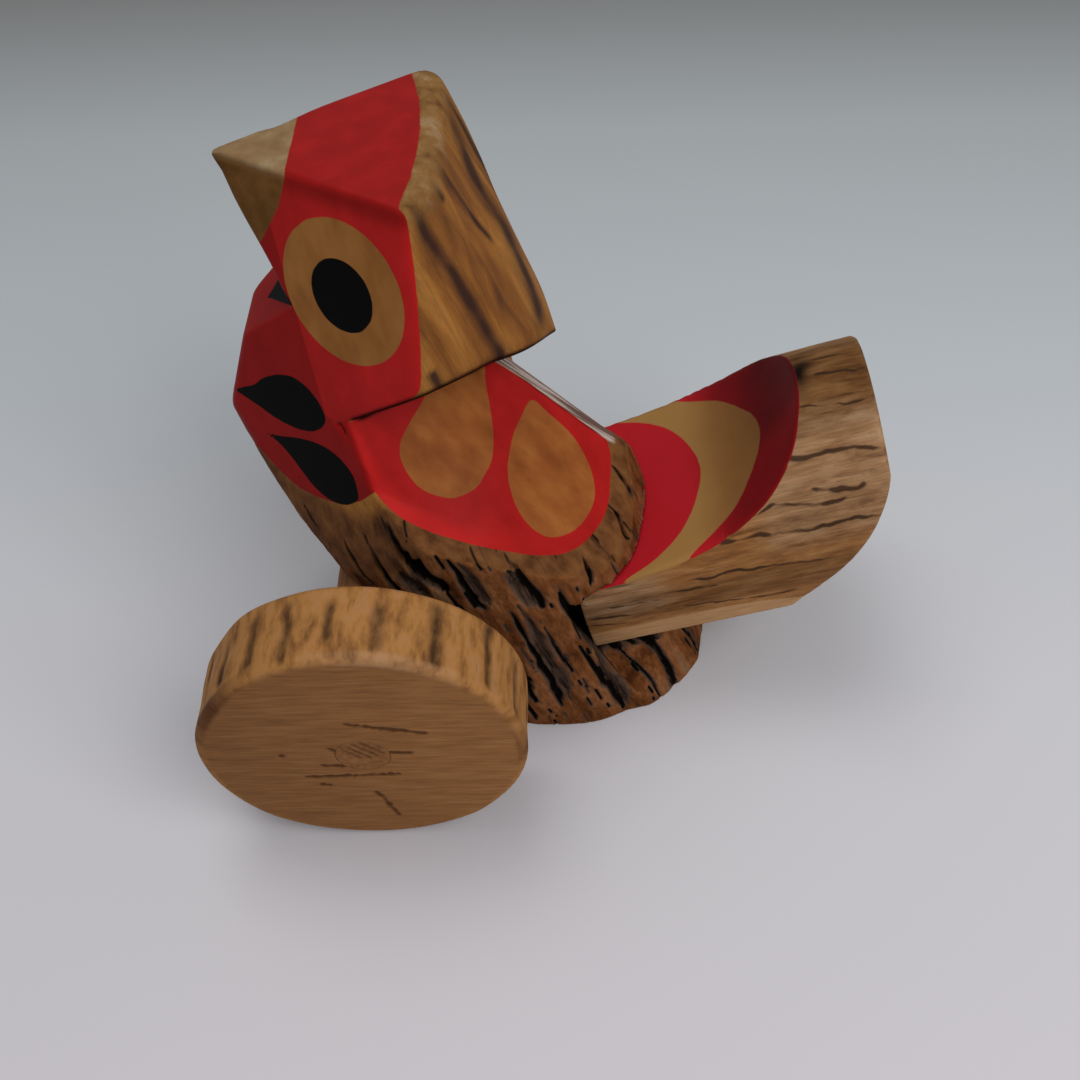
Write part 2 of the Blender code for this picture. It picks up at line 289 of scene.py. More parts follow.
# %% The sawn flats as limits of the radius
def flats(turn, along):
    """Each flat n.p = d gives the radius (d - n_along * along) / (n_back cos + n_side sin).
    The wings leave a strip along the ridge, and the near wing's front shoulder is worn
    down by up to 4.8 mm, as the square of the way from the ridge."""
    c, side = np.cos(turn), np.abs(np.sin(turn))
    far = np.sin(turn) > 0
    cheek_at = FAR_CHEEK_AT + 1.1 * ease(0.3, -0.5, c) + 1.6 * np.exp(-((c - 0.47) / 0.3) ** 2)
    cheek = reach(np.where(far, cheek_at, CHEEK_AT) - CHEEK[2] * along,
                  CHEEK[1] * side + CHEEK[0] * c)
    strip_near, strip_far = strip_edges(along)
    ridge = RIDGE_AT + 0.53 * strip_near
    fall = np.where(far, FAR_WING_FALL, WING_FALL)
    room = np.where(far, ridge, RIDGE_AT) - RIDGE[2] * along
    room = room * np.cos(fall) + np.where(far, strip_far, 0) * np.sin(fall)
    slope = RIDGE[0] * np.cos(fall) * c + np.sin(fall) * side
    wing = reach(room, slope)
    for _ in range(8):
        up = RIDGE[0] * along - RIDGE[2] * wing * c
        out = ((RIDGE_AT - RIDGE[0] * wing * c - RIDGE[2] * along) * np.sin(fall)
               + wing * side * np.cos(fall))
        worn = 4.8 * np.clip((out - 9) / 19, 0, 1.15) ** 2 * ease(42, 68, up) * ~far
        wing = 0.5 * (wing + reach(room - worn, slope))
    top = (ridge - RIDGE[2] * along) / (RIDGE[0] * np.maximum(c, 0.05))
    top = np.where(c > 0.05, top, FAR_OUT)
    under_head = along - NOTCH_AT + 1.4 * ease(0.75, 0.97, c)
    under_head = np.clip(under_head / np.maximum(ledge_rise(turn), 0.02), 0, FAR_OUT)
    front = np.maximum(-c, 1e-3)
    throat = np.maximum(THROAT_BACK + 1.5 * ease(108, 122, along),
                        (CHIN_AT - along) / CHIN_SLOPE) / front
    breast = np.maximum(BREAST_BACK, (BREAST_AT - BREAST[2] * along) / BREAST[0]) / front
    throat, breast = (np.where(c < 0, np.minimum(cut, FAR_OUT), FAR_OUT)
                      for cut in (throat, breast))
    nape = NAPE_BACK - NAPE_SLOPE * (along - NAPE_AT) + 1.6 * ease(106, 94, along)
    nape = np.where((c > 0.05) & (along > NOTCH_AT), nape / np.maximum(c, 0.05), FAR_OUT)
    return {"cheek": cheek, "wing": soft_min(wing, top, 0.5), "under_head": under_head,
            "nape": nape, "throat": throat, "breast": breast}


print("limits at the near wing's middle:", {
    name: round(float(limit[0]), 1)
    for name, limit in flats(np.array([radians(290)]), np.array([60.0])).items()})

# %% [markdown]
# ## The bark
# Old bark is a sheet that has torn into long plates as the branch grew thicker. The tears
# run with the branch and are darkest and deepest in the middle. Those that the photograph
# shows are listed; on the other sides they keep to wandering lanes.

# %% Bark plates and furrows
BARK_TOP = 80.0                  # the bark ends here, 12 mm lower at the back
FURROWS = [  # turn and height of the upper end, of the lower end, half width in mm, darkness
    (251.5, 70.8, 265, 50, 2.2, 1), (242, 64, 246.5, 50, 1.1, 1), (249, 62, 257, 49, 2.6, 0.5),
    (229, 63, 235.5, 51, 0.9, 1), (272.8, 60, 271.5, 42, 0.9, 1), (275, 58, 275, 44, 1.5, 0.45),
    (289.2, 53.5, 290.5, 36, 0.9, 1), (286.5, 51, 288, 38, 1.8, 0.5), (280, 43, 276.8, 6, 1.0, 1),
    (283, 38, 281, 10, 2.2, 0.5), (297.8, 40.5, 295.8, 23, 0.9, 1), (293.6, 22, 295.8, -4, 0.9, 1),
    (297, 18, 298, -2, 2.0, 0.5), (312.8, 41.5, 308, 33.5, 0.7, 1), (321, 9, 319, -8, 0.6, 1),
    (319.6, 10, 317.4, -11, 1.1, 0.6), (334.8, 40, 332.2, 33, 0.8, 1),
    (349.2, 44.5, 345.5, 35.5, 0.8, 1),
    (262, 46, 264, 24, 1.2, 1), (270, 34, 269, 10, 0.9, 1), (255, 45, 257, 30, 0.8, 1),
    (303, 27, 301.5, 6, 0.5, 0.8), (309, 10, 310.5, -5, 0.5, 0.8), (287, 31, 286, 15, 0.5, 0.8),
    (213, 69, 219, 62, 0.6, 1), (335, 2, 335, -11, 0.7, 1)]


def peeled(turn, along):
    """0 on bark, 1 on bare wood, eased over 2 mm about a border that dips by 12 cos."""
    return ease(-1, 1, along - BARK_TOP + 12 * np.cos(turn))


def bark(turn, along):
    """Depth in mm and furrow depth 0-1: a V whose half width swells as k^0.7 (1 - k)^0.35
    down its length, with hatched sides. Lanes carry furrows of random beat elsewhere."""
    t = turn / TURN
    crumb = 0.6 * wander(96 * t, along / 3.2, 96, 16) + 0.4 * wander(210 * t, along / 1.4, 210, 17)
    hatch = wander(300 * t, along / 5, 300, 18)
    hand_placed = ease(radians(200), radians(212), turn) * ease(radians(352), radians(345), turn)
    deep, furrow_and_shade = 0, 0
    for lanes, drift, beat, half_width, seed in ((24, 0.55, 13, 1.35, 11), (48, 0.5, 12, 0.45, 21)):
        lane = lanes * t + drift * wander(9 * t, along / 16, 9, seed)
        lane = lane + 0.16 * wander(lanes * t, along / 6, lanes, seed + 1)
        off = np.abs(lane - np.round(lane)) * TURN * BARK_R / lanes
        swell = half_width * ease(-0.35, 0.9, wander(np.round(lane), along / beat, lanes, seed + 2))
        swell = swell * (1 - 0.9 * hand_placed)
        cut = np.clip(1 - (off + 0.3 * half_width * hatch) / np.maximum(swell, 0.01), 0, 1)
        cut = cut * ease(0.15, 0.45, swell)
        furrow_and_shade = np.maximum(furrow_and_shade, cut * (1.0 if lanes == 24 else 0.7))
        deep = np.maximum(deep, cut * (0.5 + 1.1 * swell))
    waver = 0.6 * wander(24 * t, along / 7, 24, 31) + 0.25 * wander(40 * t, along / 2.6, 40, 32)
    for turn_0, top, turn_1, foot, half_width, dark in FURROWS:
        k = np.clip((top - along) / (top - foot), 0, 1)
        off = (turn - radians(turn_0) - radians(turn_1 - turn_0) * k) * BARK_R + waver
        swell = 1.9 * half_width * k ** 0.7 * (1 - k) ** 0.35 * (1 + 0.25 * crumb)
        cut = np.clip(1.25 - (np.abs(off) + 0.35 * half_width * hatch) / np.maximum(swell, 0.01),
                      0, 1)
        furrow_and_shade = np.maximum(furrow_and_shade, cut * dark)
        deep = np.maximum(deep, cut * (0.6 + 0.9 * swell) * dark)
    plate = 0.35 * wander(24 * t, along / 14, 24, 15)
    wall = np.exp(-(((np.cos(turn) * BARK_R - AXLE_BACK) / 11) ** 2
                    + ((along - AXLE_ALONG) / 10) ** 2) * 0.7)
    calm = 1 - 0.7 * wall * (np.cos(turn) < -0.3)
    at_foot = 1 - 0.6 * ease(6, 0, along + BARK_R * np.cos(turn) * np.tan(LEAN))
    rubbed = 0.9 * ease(0.80, 1.0, np.cos(turn)) * ease(24, 32, along)
    at_heel = ease(radians(295), radians(306), turn) * ease(radians(345), radians(330), turn)
    flare = 1.3 * ease(2, -5, along) * at_heel
    return (deep * at_foot + 0.35 + plate + 0.12 * crumb) * calm + rubbed - flare, furrow_and_shade


print("bark's depth at the front, in mm:", bark(np.array([pi]), np.array([20.0]))[0].round(2))

# %% The whole radius of the log
def log_radius(turn, along):
    """The least of bark or wood radius and the flats, edges rounded by the soft minimum. The
    kerf is a bell 0.6 mm wide, and the head is 3.2 mm fuller towards its far back corner."""
    c = np.cos(turn)
    depth, _ = bark(turn, along)
    bare = peeled(turn, along)
    fuller = 3.2 * np.exp(-((turn - 0.71) / 0.24) ** 2) * ease(85, 110, along)
    head_wood = WOOD_R + fuller + 0.3 * wander(16 * turn / TURN, along / 45, 16, 21)
    radius = (BARK_R - depth) * (1 - bare) + head_wood * bare
    flat = flats(turn, along)
    rise = ledge_rise(turn)
    above = (flat["under_head"] - flat["wing"]) * rise
    kerf_and_shade = 1.3 * np.exp(-(above / 0.6) ** 2) * (rise > 0.05)
    kerf_and_shade = kerf_and_shade * ease(4, 9, flat["cheek"] - flat["wing"])
    notch = np.maximum(flat["wing"] - kerf_and_shade, flat["under_head"])
    round_off = 1.0 + 1.8 * ease(0.6, 0.95, c) * ease(71, 74, along)
    radius = soft_min(radius, notch, round_off)
    radius = soft_min(radius, flat["nape"], 2.5)
    radius = soft_min(radius, flat["cheek"], np.where(above > 0, 2.2, 1.6))
    radius = soft_min(radius, flat["breast"], 1.5)
    return np.maximum(soft_min(radius, flat["throat"], 1.0), 0.5)


print("radius at the foot, front and back:",
      np.round(log_radius(np.array([pi, 0.0]), np.array([12.0, 12.0])), 1))

# %% [markdown]
# ## The tail
# The tail is a shorter branch without its bark, scooped like a gouge cut from the top. Its
# skin is measured from a line that climbs inside it, so that every point of the skin can be
# seen from that line.

# %% The tail's own frame and limits
RISE = np.arctan(0.32)
TAIL_BACK = np.array([np.cos(RISE), 0, np.sin(RISE)])
TAIL_UP = np.array([-np.sin(RISE), 0, np.cos(RISE)])
TAIL_AT = np.array([60.0, 0, 35.3])             # where that frame starts, in mm from the axle
TAIL_R = 22.6
TAIL_ROUNDS = (24.2, 30.0, 60.0)                # half heights of the stock: top, side, corner
SIDE_OUT, SIDE_UP, SIDE_AT = 8.3, 2.3, 199.5    # a side cut: 8.3 |y| - 2.3 up = 199.5
TAIL_FLOOR = -19.0
UNDERCUT_AT, UNDERCUT_SLOPE = 34.5, 0.69        # way along at axis height, and per mm up
# The scoop's bottom is a Bezier curve, seen from the side.
t = np.linspace(-0.1, 1.0, 120)[:, None]
scoop_curve = ((1 - t) ** 3 * (38.0, 31.8) + 3 * (1 - t) ** 2 * t * (62.3, 42.3)
               + 3 * (1 - t) * t ** 2 * (79.3, 50.5) + t ** 3 * (81.4, 76.0))
scoop_along = (scoop_curve - TAIL_AT[[0, 2]]) @ TAIL_BACK[[0, 2]]
scoop_up = (scoop_curve - TAIL_AT[[0, 2]]) @ TAIL_UP[[0, 2]]
print("the scoop reaches", round(scoop_along[-1], 1), "mm along the tail")


def tail_centre(along):
    """Height of the line inside the tail: it climbs from -5 to 17.7 mm, eased."""
    return -5 + 22.7 * ease(-5, 42, along)


def tail_limits(turn, along):
    """Limits of the distance from the inner line: round stock, scoop, sawn sides, floor
    and undercut, each solved along the ray at this turn (0 = +Y, a quarter = up)."""
    c, s = np.cos(turn), np.sin(turn)
    mid = tail_centre(along)
    down = np.maximum(-s, 1e-3)
    rounds = []
    for high in (TAIL_ROUNDS[0] + 0.5 * ease(12, 30, along), *TAIL_ROUNDS[1:]):
        a = (c / TAIL_R) ** 2 + (s / high) ** 2
        b = mid * s / high ** 2
        rounds.append((-b + np.sqrt(b * b - a * (mid ** 2 / high ** 2 - 1))) / a)
    corner = -9.5 - 3.5 * ease(3, 16, along)
    stock = np.where(mid + rounds[1] * s > corner, rounds[1], rounds[2])
    stock = np.where(mid + rounds[0] * s > 0, rounds[0], stock)
    top = np.interp(along, scoop_along, scoop_up)
    scoop = np.full_like(stock, 15.0)
    for _ in range(6):
        sag = 1.2 * np.clip(1 - (scoop * c / TAIL_R) ** 2, 0, 1)
        scoop = np.where(s > 0.02, (top - sag - mid) / np.maximum(s, 0.02), FAR_OUT)
        scoop = np.clip(scoop, 0.5, FAR_OUT)
    sawn = reach(SIDE_AT + SIDE_UP * mid, SIDE_OUT * np.abs(c) - SIDE_UP * s)
    floor = np.where(s < 0, (mid - TAIL_FLOOR) / down, FAR_OUT)
    to_cut = along - UNDERCUT_AT
    undercut = np.where(s < 0, (mid - to_cut / UNDERCUT_SLOPE) / down, FAR_OUT)
    for _ in range(6):
        low = mid - np.clip(undercut, 0, FAR_OUT) * down
        full = 2.4 * np.clip(1 - ((low + 4) / 15) ** 2, 0, 1)
        undercut = 0.5 * (undercut + np.where(
            s < 0, (mid - (to_cut - full) / UNDERCUT_SLOPE) / down, FAR_OUT))
    return {"stock": stock, "scoop": scoop, "sawn": sawn,
            "floor": np.minimum(floor, FAR_OUT), "undercut": np.clip(undercut, 0.5, FAR_OUT)}


def tail_lanes(about, along):
    """44 wavy lanes about the stock: mm from each lane's middle, and its own 0-1 strength,
    which is a random height eased from 0.3 to 0.9."""
    lane = 44 * about + 0.45 * wander(11 * about, along / 13, 11, 30)
    off = np.abs(lane - np.round(lane)) * TURN * 23 / 44
    return off, ease(0.3, 0.9, wander(np.round(lane), along / 12, 44, 31))


def tail_radius(turn, along):
    """The least of the tail's limits, its bare wood grooved along the grain: each lane is a
    V as wide as its strength and 0.6 mm deep on the near side, over low random ribs."""
    limit = tail_limits(turn, along)
    reached = tail_centre(along) + limit["stock"] * np.sin(turn)
    about = np.arctan2(reached, limit["stock"] * np.cos(turn)) / TURN
    off, strength = tail_lanes(about, along)
    groove = np.clip(1 - off / np.maximum(0.8 * strength, 0.01), 0, 1)
    ribs = 0.10 * wander(90 * about, along / 9, 90, 32) + 0.3 * wander(9 * about, along / 17, 9, 33)
    near = ease(0.3, -0.3, np.cos(turn))
    radius = soft_min(limit["stock"] - 0.1 + ribs - 0.6 * groove * near, limit["sawn"], 0.3)
    radius = soft_min(radius, limit["floor"], 0.6)
    radius = soft_min(radius, limit["undercut"], 6.0)
    return soft_min(radius, limit["scoop"], 0.7)


# %% From a radius to lines of points
def profile(radius_at, turn, start, finish, cap_start, cap_finish):
    """Lines of (radius, along, on-a-cap) for every turn, 0.12 mm apart: out over the first
    cap, along the side, and in over the last cap, each cap a function of the radius."""
    low, high = np.full_like(turn, start), np.full_like(turn, finish)
    for _ in range(12):
        low = cap_start(radius_at(turn, low))
        high = cap_finish(radius_at(turn, high))
    side = low + (high - low) * np.linspace(0, 1, 1200)
    edge = radius_at(turn, side)
    grow = np.linspace(0, 1, 241)[:-1]
    first, last = edge[:, :1] * grow, edge[:, -1:] * grow[::-1]
    radius = np.concatenate([first, edge, last], axis=1)
    along = np.concatenate([cap_start(first), side, cap_finish(last)], axis=1)
    cap = np.ones_like(radius)
    cap[:, 240:-240] = 0
    return respace(np.stack([radius, along, cap], axis=-1), 1500)


# %% Make the log's skin
AROUND_LOG = 408
turn = (np.arange(AROUND_LOG) / AROUND_LOG * TURN)[:, None]
lines = profile(log_radius, turn, 0.0, 120.0, lambda r: -r * np.cos(turn) * np.tan(LEAN),
                lambda r: CROWN_AT - CROWN_FALL * r * np.cos(turn))
# Handling rounded the back of the crown's rim and of the ledge over the wings.
fine, worn = soften(lines, 2), soften(lines, 12)
behind = ease(0.1, 0.5, np.cos(turn))
ledge = NOTCH_AT + ledge_rise(turn) * WOOD_R
at_rim = 4 * worn[..., 2] * (1 - worn[..., 2]) * (lines[..., 1] > 90)
at_ledge = np.exp(-((lines[..., 1] - ledge) / 2.2) ** 2) * (lines[..., 0] > 24)
lines = fine + (worn - fine) * np.maximum(at_rim * (0.15 + 0.85 * behind),
                                          at_ledge * behind)[..., None]
lines = respace(lines, 232, 5.0, 0.5)
radius, along = lines[..., 0], lines[..., 1]
back, side = radius * np.cos(turn), radius * np.sin(turn)
print("log skin reaches", np.round(along.max(), 1), "mm along its axis")

# %% [markdown]
# ## Bore, slot and notch
# The axle turns in a hole through the front of the log, and the tail sits in a slot cut
# across its back. Beside the slot a chisel took off the bark, down to a sloping ledge. In
# the skin all three are places where the radius steps inwards.

# %% Sink the bore and the slot
BORE_R = 9.0
from_bore = np.hypot(back - AXLE_BACK, along - AXLE_ALONG)
in_bore = ease(BORE_R + 0.1, BORE_R - 0.3, from_bore) * (np.cos(turn) < -0.2)
half = np.sqrt(np.clip(BORE_R ** 2 - (along - AXLE_ALONG) ** 2, 0, None))
entry = (-AXLE_BACK - half) / np.maximum(-np.cos(turn), 0.2)
radius = radius - np.clip(radius - entry, 0, 9) * in_bore
spot = from_log(radius * np.cos(turn), radius * np.sin(turn), along) - TAIL_AT
tail_a, tail_b = spot @ TAIL_BACK, spot @ TAIL_UP - tail_centre(spot @ TAIL_BACK)
tail_turn = np.arctan2(tail_b, spot[..., 1]) % TURN
slot_gap = tail_radius(tail_turn, tail_a) - np.hypot(tail_b, spot[..., 1])
in_slot = ease(-1.0, -0.2, slot_gap) * (tail_a > -22) * (tail_a < 20)
radius = radius - 3.0 * in_slot
print("the slot takes", int((in_slot > 0.5).sum()), "points of the log's skin")

# %% Cut the notch beside the slot
NOTCH = [(318, 28.5), (313, 30.4), (308.6, 31.4), (301, 31.7), (298.3, 32.9), (296.5, 28.7),
         (296.1, 25.2), (296.6, 22.2), (297.5, 18.9), (300, 12), (302.6, 0), (307.5, -14),
         (335, -14), (322, 25)]          # turn in degrees and height of its border
near_turn = np.degrees(np.where(turn < pi, TURN - turn, turn)) + np.zeros_like(along)
notch = ease(-0.2, 0.5, inside(NOTCH, near_turn, along, False))
below_tail = -19.4 - spot @ TAIL_UP
ledge = 19.3 / np.maximum(np.abs(np.sin(turn)), 0.3) + below_tail
notch_floor = np.where(below_tail > 0, np.maximum(21, ledge), 21)
radius = radius - np.clip(radius - notch_floor, 0, 12) * notch
notch = notch * ease(0.6, 0.0, below_tail)
back, side = radius * np.cos(turn), radius * np.sin(turn)
print("the notch is", round(float(BARK_R - notch_floor.min()), 1), "mm deep at most")

# %% Follow the lines of sight
seen_from = CAMERA_AT - (FOOT_X, 0, 0)
EYE = np.array([seen_from @ BACK, -CAMERA_AT[1], seen_from @ ALONG])    # in the log's mm


def sighted(normal, distance):
    """Where the line from the eye through each point of the log meets a flat: the point
    moved along that line by (d - n.p) / (n.way). Both sides are handled as one."""
    point = np.stack([back, np.abs(side), along], -1)
    way = EYE - point
    normal = np.array(normal)
    room = (distance - point @ normal) / (way @ normal)
    return point + np.clip(room, -0.05, 0.05)[..., None] * way


print("the camera is", round(float(np.linalg.norm(EYE))), "mm from the log's foot")

# %% Measure the cheek and the wing
flat = flats(turn, along)
c, s = np.cos(turn), np.abs(np.sin(turn))
cheek_below = (flat["cheek"] - radius) * np.maximum(CHEEK[1] * s + CHEEK[0] * c, 0.02)
crown_below = (CROWN_AT - CROWN_FALL * back - along) / np.hypot(1, CROWN_FALL)
spot = sighted(CHEEK, CHEEK_AT)
cheek_x = spot @ (0.8766, 0.4812, 0)             # on the cheek: towards the nape
cheek_y = spot @ (0.1727, -0.3147, 0.9331)       # and up
fall_c, fall_s = cos(WING_FALL), sin(WING_FALL)
spot = sighted((RIDGE[0] * fall_c, fall_s, RIDGE[2] * fall_c), RIDGE_AT * fall_c)
wing_x = spot @ (-RIDGE[2], 0, RIDGE[0])         # on the wing: up along the ridge
wing_y = spot @ (-RIDGE[0] * fall_s, fall_c, -RIDGE[2] * fall_s)
wing_y = wing_y + RIDGE_AT * fall_s              # and out from it
head = (flat["under_head"] > flat["wing"]) & (flat["wing"] < 40)
on_breast = 0.5 * (flat["wing"] - flat["cheek"])
strip_near, strip_far = strip_edges(along)
off_strip = np.where(side > 0, side - strip_far, strip_near - side)
print("the head has", int(head.sum()), "of", head.size, "points")

# %% Red: breast, wings and crown
RED_BREAST = [  # toward the nape and up, in mm on the cheek
    (-60, 72), (-30, 67), (-22.7, 64.8), (-21.0, 64.3), (-18.8, 61.6), (-16.2, 58.9),
    (-13.3, 56.7), (-9.6, 55.5), (-5.8, 54.9), (-2.3, 54.7), (1.7, 56.2), (4.9, 58.0),
    (7.3, 59.2), (12, 62), (40, 80), (40, 150), (-60, 150)]
RED_WING = [  # up the ridge and out from it, in mm on the wing
    (90, 20), (78.7, 25.6), (75.4, 27.9), (72.0, 30.8), (69.8, 32.3), (67.6, 33.6),
    (63.8, 34.9), (60.2, 35.1), (56.7, 34.9), (51.6, 34.1), (46.5, 33.1), (39.5, 31.2),
    (33.9, 29.3), (29.0, 26.6), (25.4, 22.6), (23.2, 17.3), (23.0, 13.0), (24.0, 9.0),
    (25.6, 4.3), (27.8, 1.5), (29.2, 0.5), (30.7, -0.6), (33, -3), (38, -6), (50, -8),
    (70, -8), (90, -6)]
on_wing = np.minimum(inside(RED_WING, wing_x, wing_y), np.where(back > 0, off_strip, 9))
body_red = np.maximum(np.minimum(inside(RED_BREAST, cheek_x, cheek_y, False), on_breast + 0.5),
                      np.minimum(on_wing, 0.5 - on_breast))
crown_red = np.minimum(2.2 - crown_below, 22.4 - 1.8 * (side / 18) ** 2 - back)
head_red = np.maximum(np.maximum(crown_red, 0.9 - 2 * cheek_below), -6 - back)
red = np.where(head, head_red, body_red)
print("painted red:", round(float((red > 0).mean()) * 100), "% of the log's points")

# %% Tan and black: beak, eyes, drops, feathers and a painted shadow in the throat
BEAK = [  # back and along, in mm on the log
    (3.1, 140), (3.1, 124.4), (2.4, 123.2), (-0.7, 119.6), (-3.3, 117.5), (-6.0, 115.3),
    (-9, 113.3), (-20, 108), (-20, 140)]
DROPS = [  # on the wing
    [(57.5, 1.5), (56.4, 4.2), (53.2, 9.2), (50.9, 13.6), (49.9, 17.4), (50.2, 20.4),
     (51.2, 23.8), (54.4, 27.2), (58.3, 28.5), (61.8, 28.5), (65.0, 26.9), (67.0, 24.9),
     (67.7, 22.3), (67.3, 18.7), (66.5, 14), (66, 8), (62, 2), (59, 0.6)],
    [(46.0, 2.7), (41.4, 3.4), (36.7, 4.3), (33.4, 5.7), (29.3, 8.7), (26.5, 12.9),
     (26.6, 17.6), (28.7, 21.9), (32.6, 25.0), (36.4, 25.5), (40.5, 24.1), (43.7, 21.4),
     (46.1, 17.6), (47.3, 11.7), (47.0, 7.0)]]
FEATHERS = [  # on the cheek, carried down onto the breast
    [(-22.0, 76.0), (-16.7, 77.3), (-13.8, 78.8), (-9.8, 79.8), (-5.9, 79.6), (-3.2, 77.9),
     (-1.5, 75.4), (-0.9, 72.6), (-2.1, 70.6), (-5.2, 69.3), (-9.1, 69.5), (-13.1, 70.8),
     (-16.8, 72.9), (-20.2, 74.8)],
    [(-18.3, 67.7), (-14.0, 67.4), (-9.0, 67.5), (-4.0, 66.7), (-0.5, 64.6), (1.5, 61.7),
     (1.7, 58.1), (0.8, 56.1), (-2.3, 54.8), (-5.7, 55.1), (-9.0, 57.3), (-11.3, 60.7),
     (-13.2, 63.8), (-15.4, 66.2)]]
# Painted shadow: a black triangle where the throat's notch lies deep in shade.
THROAT_SHADOW = [  # on the cheek
    (-3.3, 98.8), (-5.4, 96.0), (-6.9, 94.1), (-5.0, 93.8), (-3.1, 93.3), (-0.6, 92.7),
    (-1.4, 94.9), (-2.2, 96.5)]
on_cheek = 1.5 - 1.5 * cheek_below
eye_ring = 12.25 - np.hypot(cheek_x - 11.4, cheek_y - 95.25)
pupil = 6.2 - np.hypot(cheek_x - 11.1, cheek_y - 94.85)
tan = np.minimum(eye_ring, on_cheek)
on_beak = inside(BEAK, back, along, False)
drop = np.maximum(*(inside(outline, wing_x, wing_y) for outline in DROPS))
drop = np.minimum(drop, np.minimum(np.where(head, -3.0, 3.0), on_wing))
feathers = np.maximum(*(inside(outline, cheek_x, cheek_y) for outline in FEATHERS))
throat_shadow = np.minimum(inside(THROAT_SHADOW, cheek_x, cheek_y, False), 0.5 * (112 - along))
black = np.maximum(np.minimum(np.maximum(feathers, pupil), on_cheek), throat_shadow)
print("painted black:", round(float((black > 0).mean()) * 100, 1), "%")

# %% Bark, furrows and painted shadow under the head
least = np.minimum.reduce([flat["cheek"], flat["breast"], flat["throat"],
                           np.maximum(flat["wing"], flat["under_head"])])
sawn_foot = ease(0.6, 0.1, back * np.sin(LEAN) + along * np.cos(LEAN))
outside = ease(0.3, 1.0, least - radius) * (1 - sawn_foot)
_, furrow_and_shade = bark(turn, along)
unpeeled = 1 - peeled(turn, along)
furrow_and_shade = furrow_and_shade * np.maximum(outside, ease(28.2, 29.2, radius + 1.5)) * unpeeled
# The notch beside the tail's seat is darkened like a furrow, as painted shadow.
furrow_and_shade = np.maximum(furrow_and_shade, 0.8 * notch) * (1 - sawn_foot)
barky = outside * unpeeled
# Painted shadow: a dark line where the head overhangs the wings, a darker one under the head's lower
# rim, and a fainter one beside the ridge strip.
rise = ledge_rise(turn)
kerf_and_shade = np.exp(-((flat["under_head"] - flat["wing"]) * rise / 0.75) ** 2) * (rise > 0.05)
kerf_and_shade = kerf_and_shade * ease(2.5, 1.2, flat["wing"] - radius) * (flat["wing"] < 40)
lip = np.exp(-((flat["under_head"] - radius) * rise / 0.85) ** 2) * head
kerf_and_shade = np.maximum(kerf_and_shade, lip) * ease(1.0, 3.5, flat["cheek"] - flat["wing"])
ridge_line = np.exp(-((off_strip - 0.1) / 0.2) ** 2) * (side < 1) * (back > 0) * (1 - head)
kerf_and_shade = np.maximum(kerf_and_shade, 0.55 * ridge_line * ease(26, 30, wing_x))
print("bark covers", round(float((barky > 0.5).mean()) * 100), "% of the log's points")

# %% Sap stains on the head
SAP_STAINS = [  # turn and height of the upper end, of the lower end, half width in mm
    (319.8, 120.5, 325, 83, 1.2), (24, 116, -10, 80, 3.4), (345, 118, 350, 100, 1.0),
    (300, 94, 301, 88, 1.0), (343, 124.5, 340, 119, 1.0), (334, 117.5, 334, 113.5, 1.1),
    (30, 118, 34, 90, 1.6)]
streak = 0
for turn_0, top, turn_1, foot, half_width in SAP_STAINS:
    k = (top - along) / (top - foot)
    off = angle_off(turn, radians(turn_0) + radians(turn_1 - turn_0) * k) * WOOD_R
    off = off + 0.7 * wander(16 * turn / TURN, along / 7, 16, 77)
    shape = np.exp(-(off / half_width) ** 2) * ease(-0.04, 0.1, k) * ease(1.04, 0.9, k)
    speckle = 0.75 + 0.25 * wander(60 * turn / TURN, along / 3, 60, 78)
    streak = np.maximum(streak, shape * speckle)
print(len(SAP_STAINS), "sap stains")

# %% Put the log together
strip = ease(0.1, -0.15, off_strip) * (back > 0) * (1 - head) * ease(25.6, 26.4, wing_x)
# Painted light and shade in the red: the wing lighter, with a painted highlight along its border
# towards the cheek; the breast darker, and darker still low down; the cheek lighter than the crown and
# towards the nape; and a painted shade band just under the crown's edge.
wing_shading = 0.63 + 0.16 * ease(4, 1, on_wing) * ease(14, 20, wing_y) * ease(38, 50, wing_x)
breast_shading = 0.45 - 0.14 * ease(66, 56, along)
body_shading = wing_shading + (breast_shading - wing_shading) * ease(-0.4, 0.4, on_breast)
shaded = ease(4.5, 1.0, crown_below) * ease(0.4, 1.5, crown_below)
head_shading = 0.5 + 0.14 * ease(0.8, 2.0, crown_below) - 0.16 * shaded
head_shading = head_shading + 0.08 * ease(2, 14, cheek_x) * ease(2, 4, crown_below)
frayed = ease(2.6, 0.3, -slot_gap) * ease(-3, 1, tail_b + tail_centre(tail_a))
grid = from_log(back, side, along) + (AXLE_X, 0, 0)
log = skin("carved_log", grid * MM, {
    "grain": np.stack([back, side, along], -1), "red": red, "tan": tan, "drop": drop,
    "beak": on_beak, "black": black, "painted_shading": np.where(head, head_shading, body_shading),
    "top": ease(1.6, 0.4, crown_below), "crown": ease(4.0, 0.0, crown_below) * head,
    "bark": barky, "furrow_and_shade": furrow_and_shade, "kerf_and_shade": kerf_and_shade, "streak": streak * head, "strip": strip,
    "rim": ease(28.2, 29.6, radius + 2.0) * (1 - barky) * (1 - head),
    "frayed": frayed * barky * (tail_a > -22)})
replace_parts(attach(log, "bird"), "body_log")

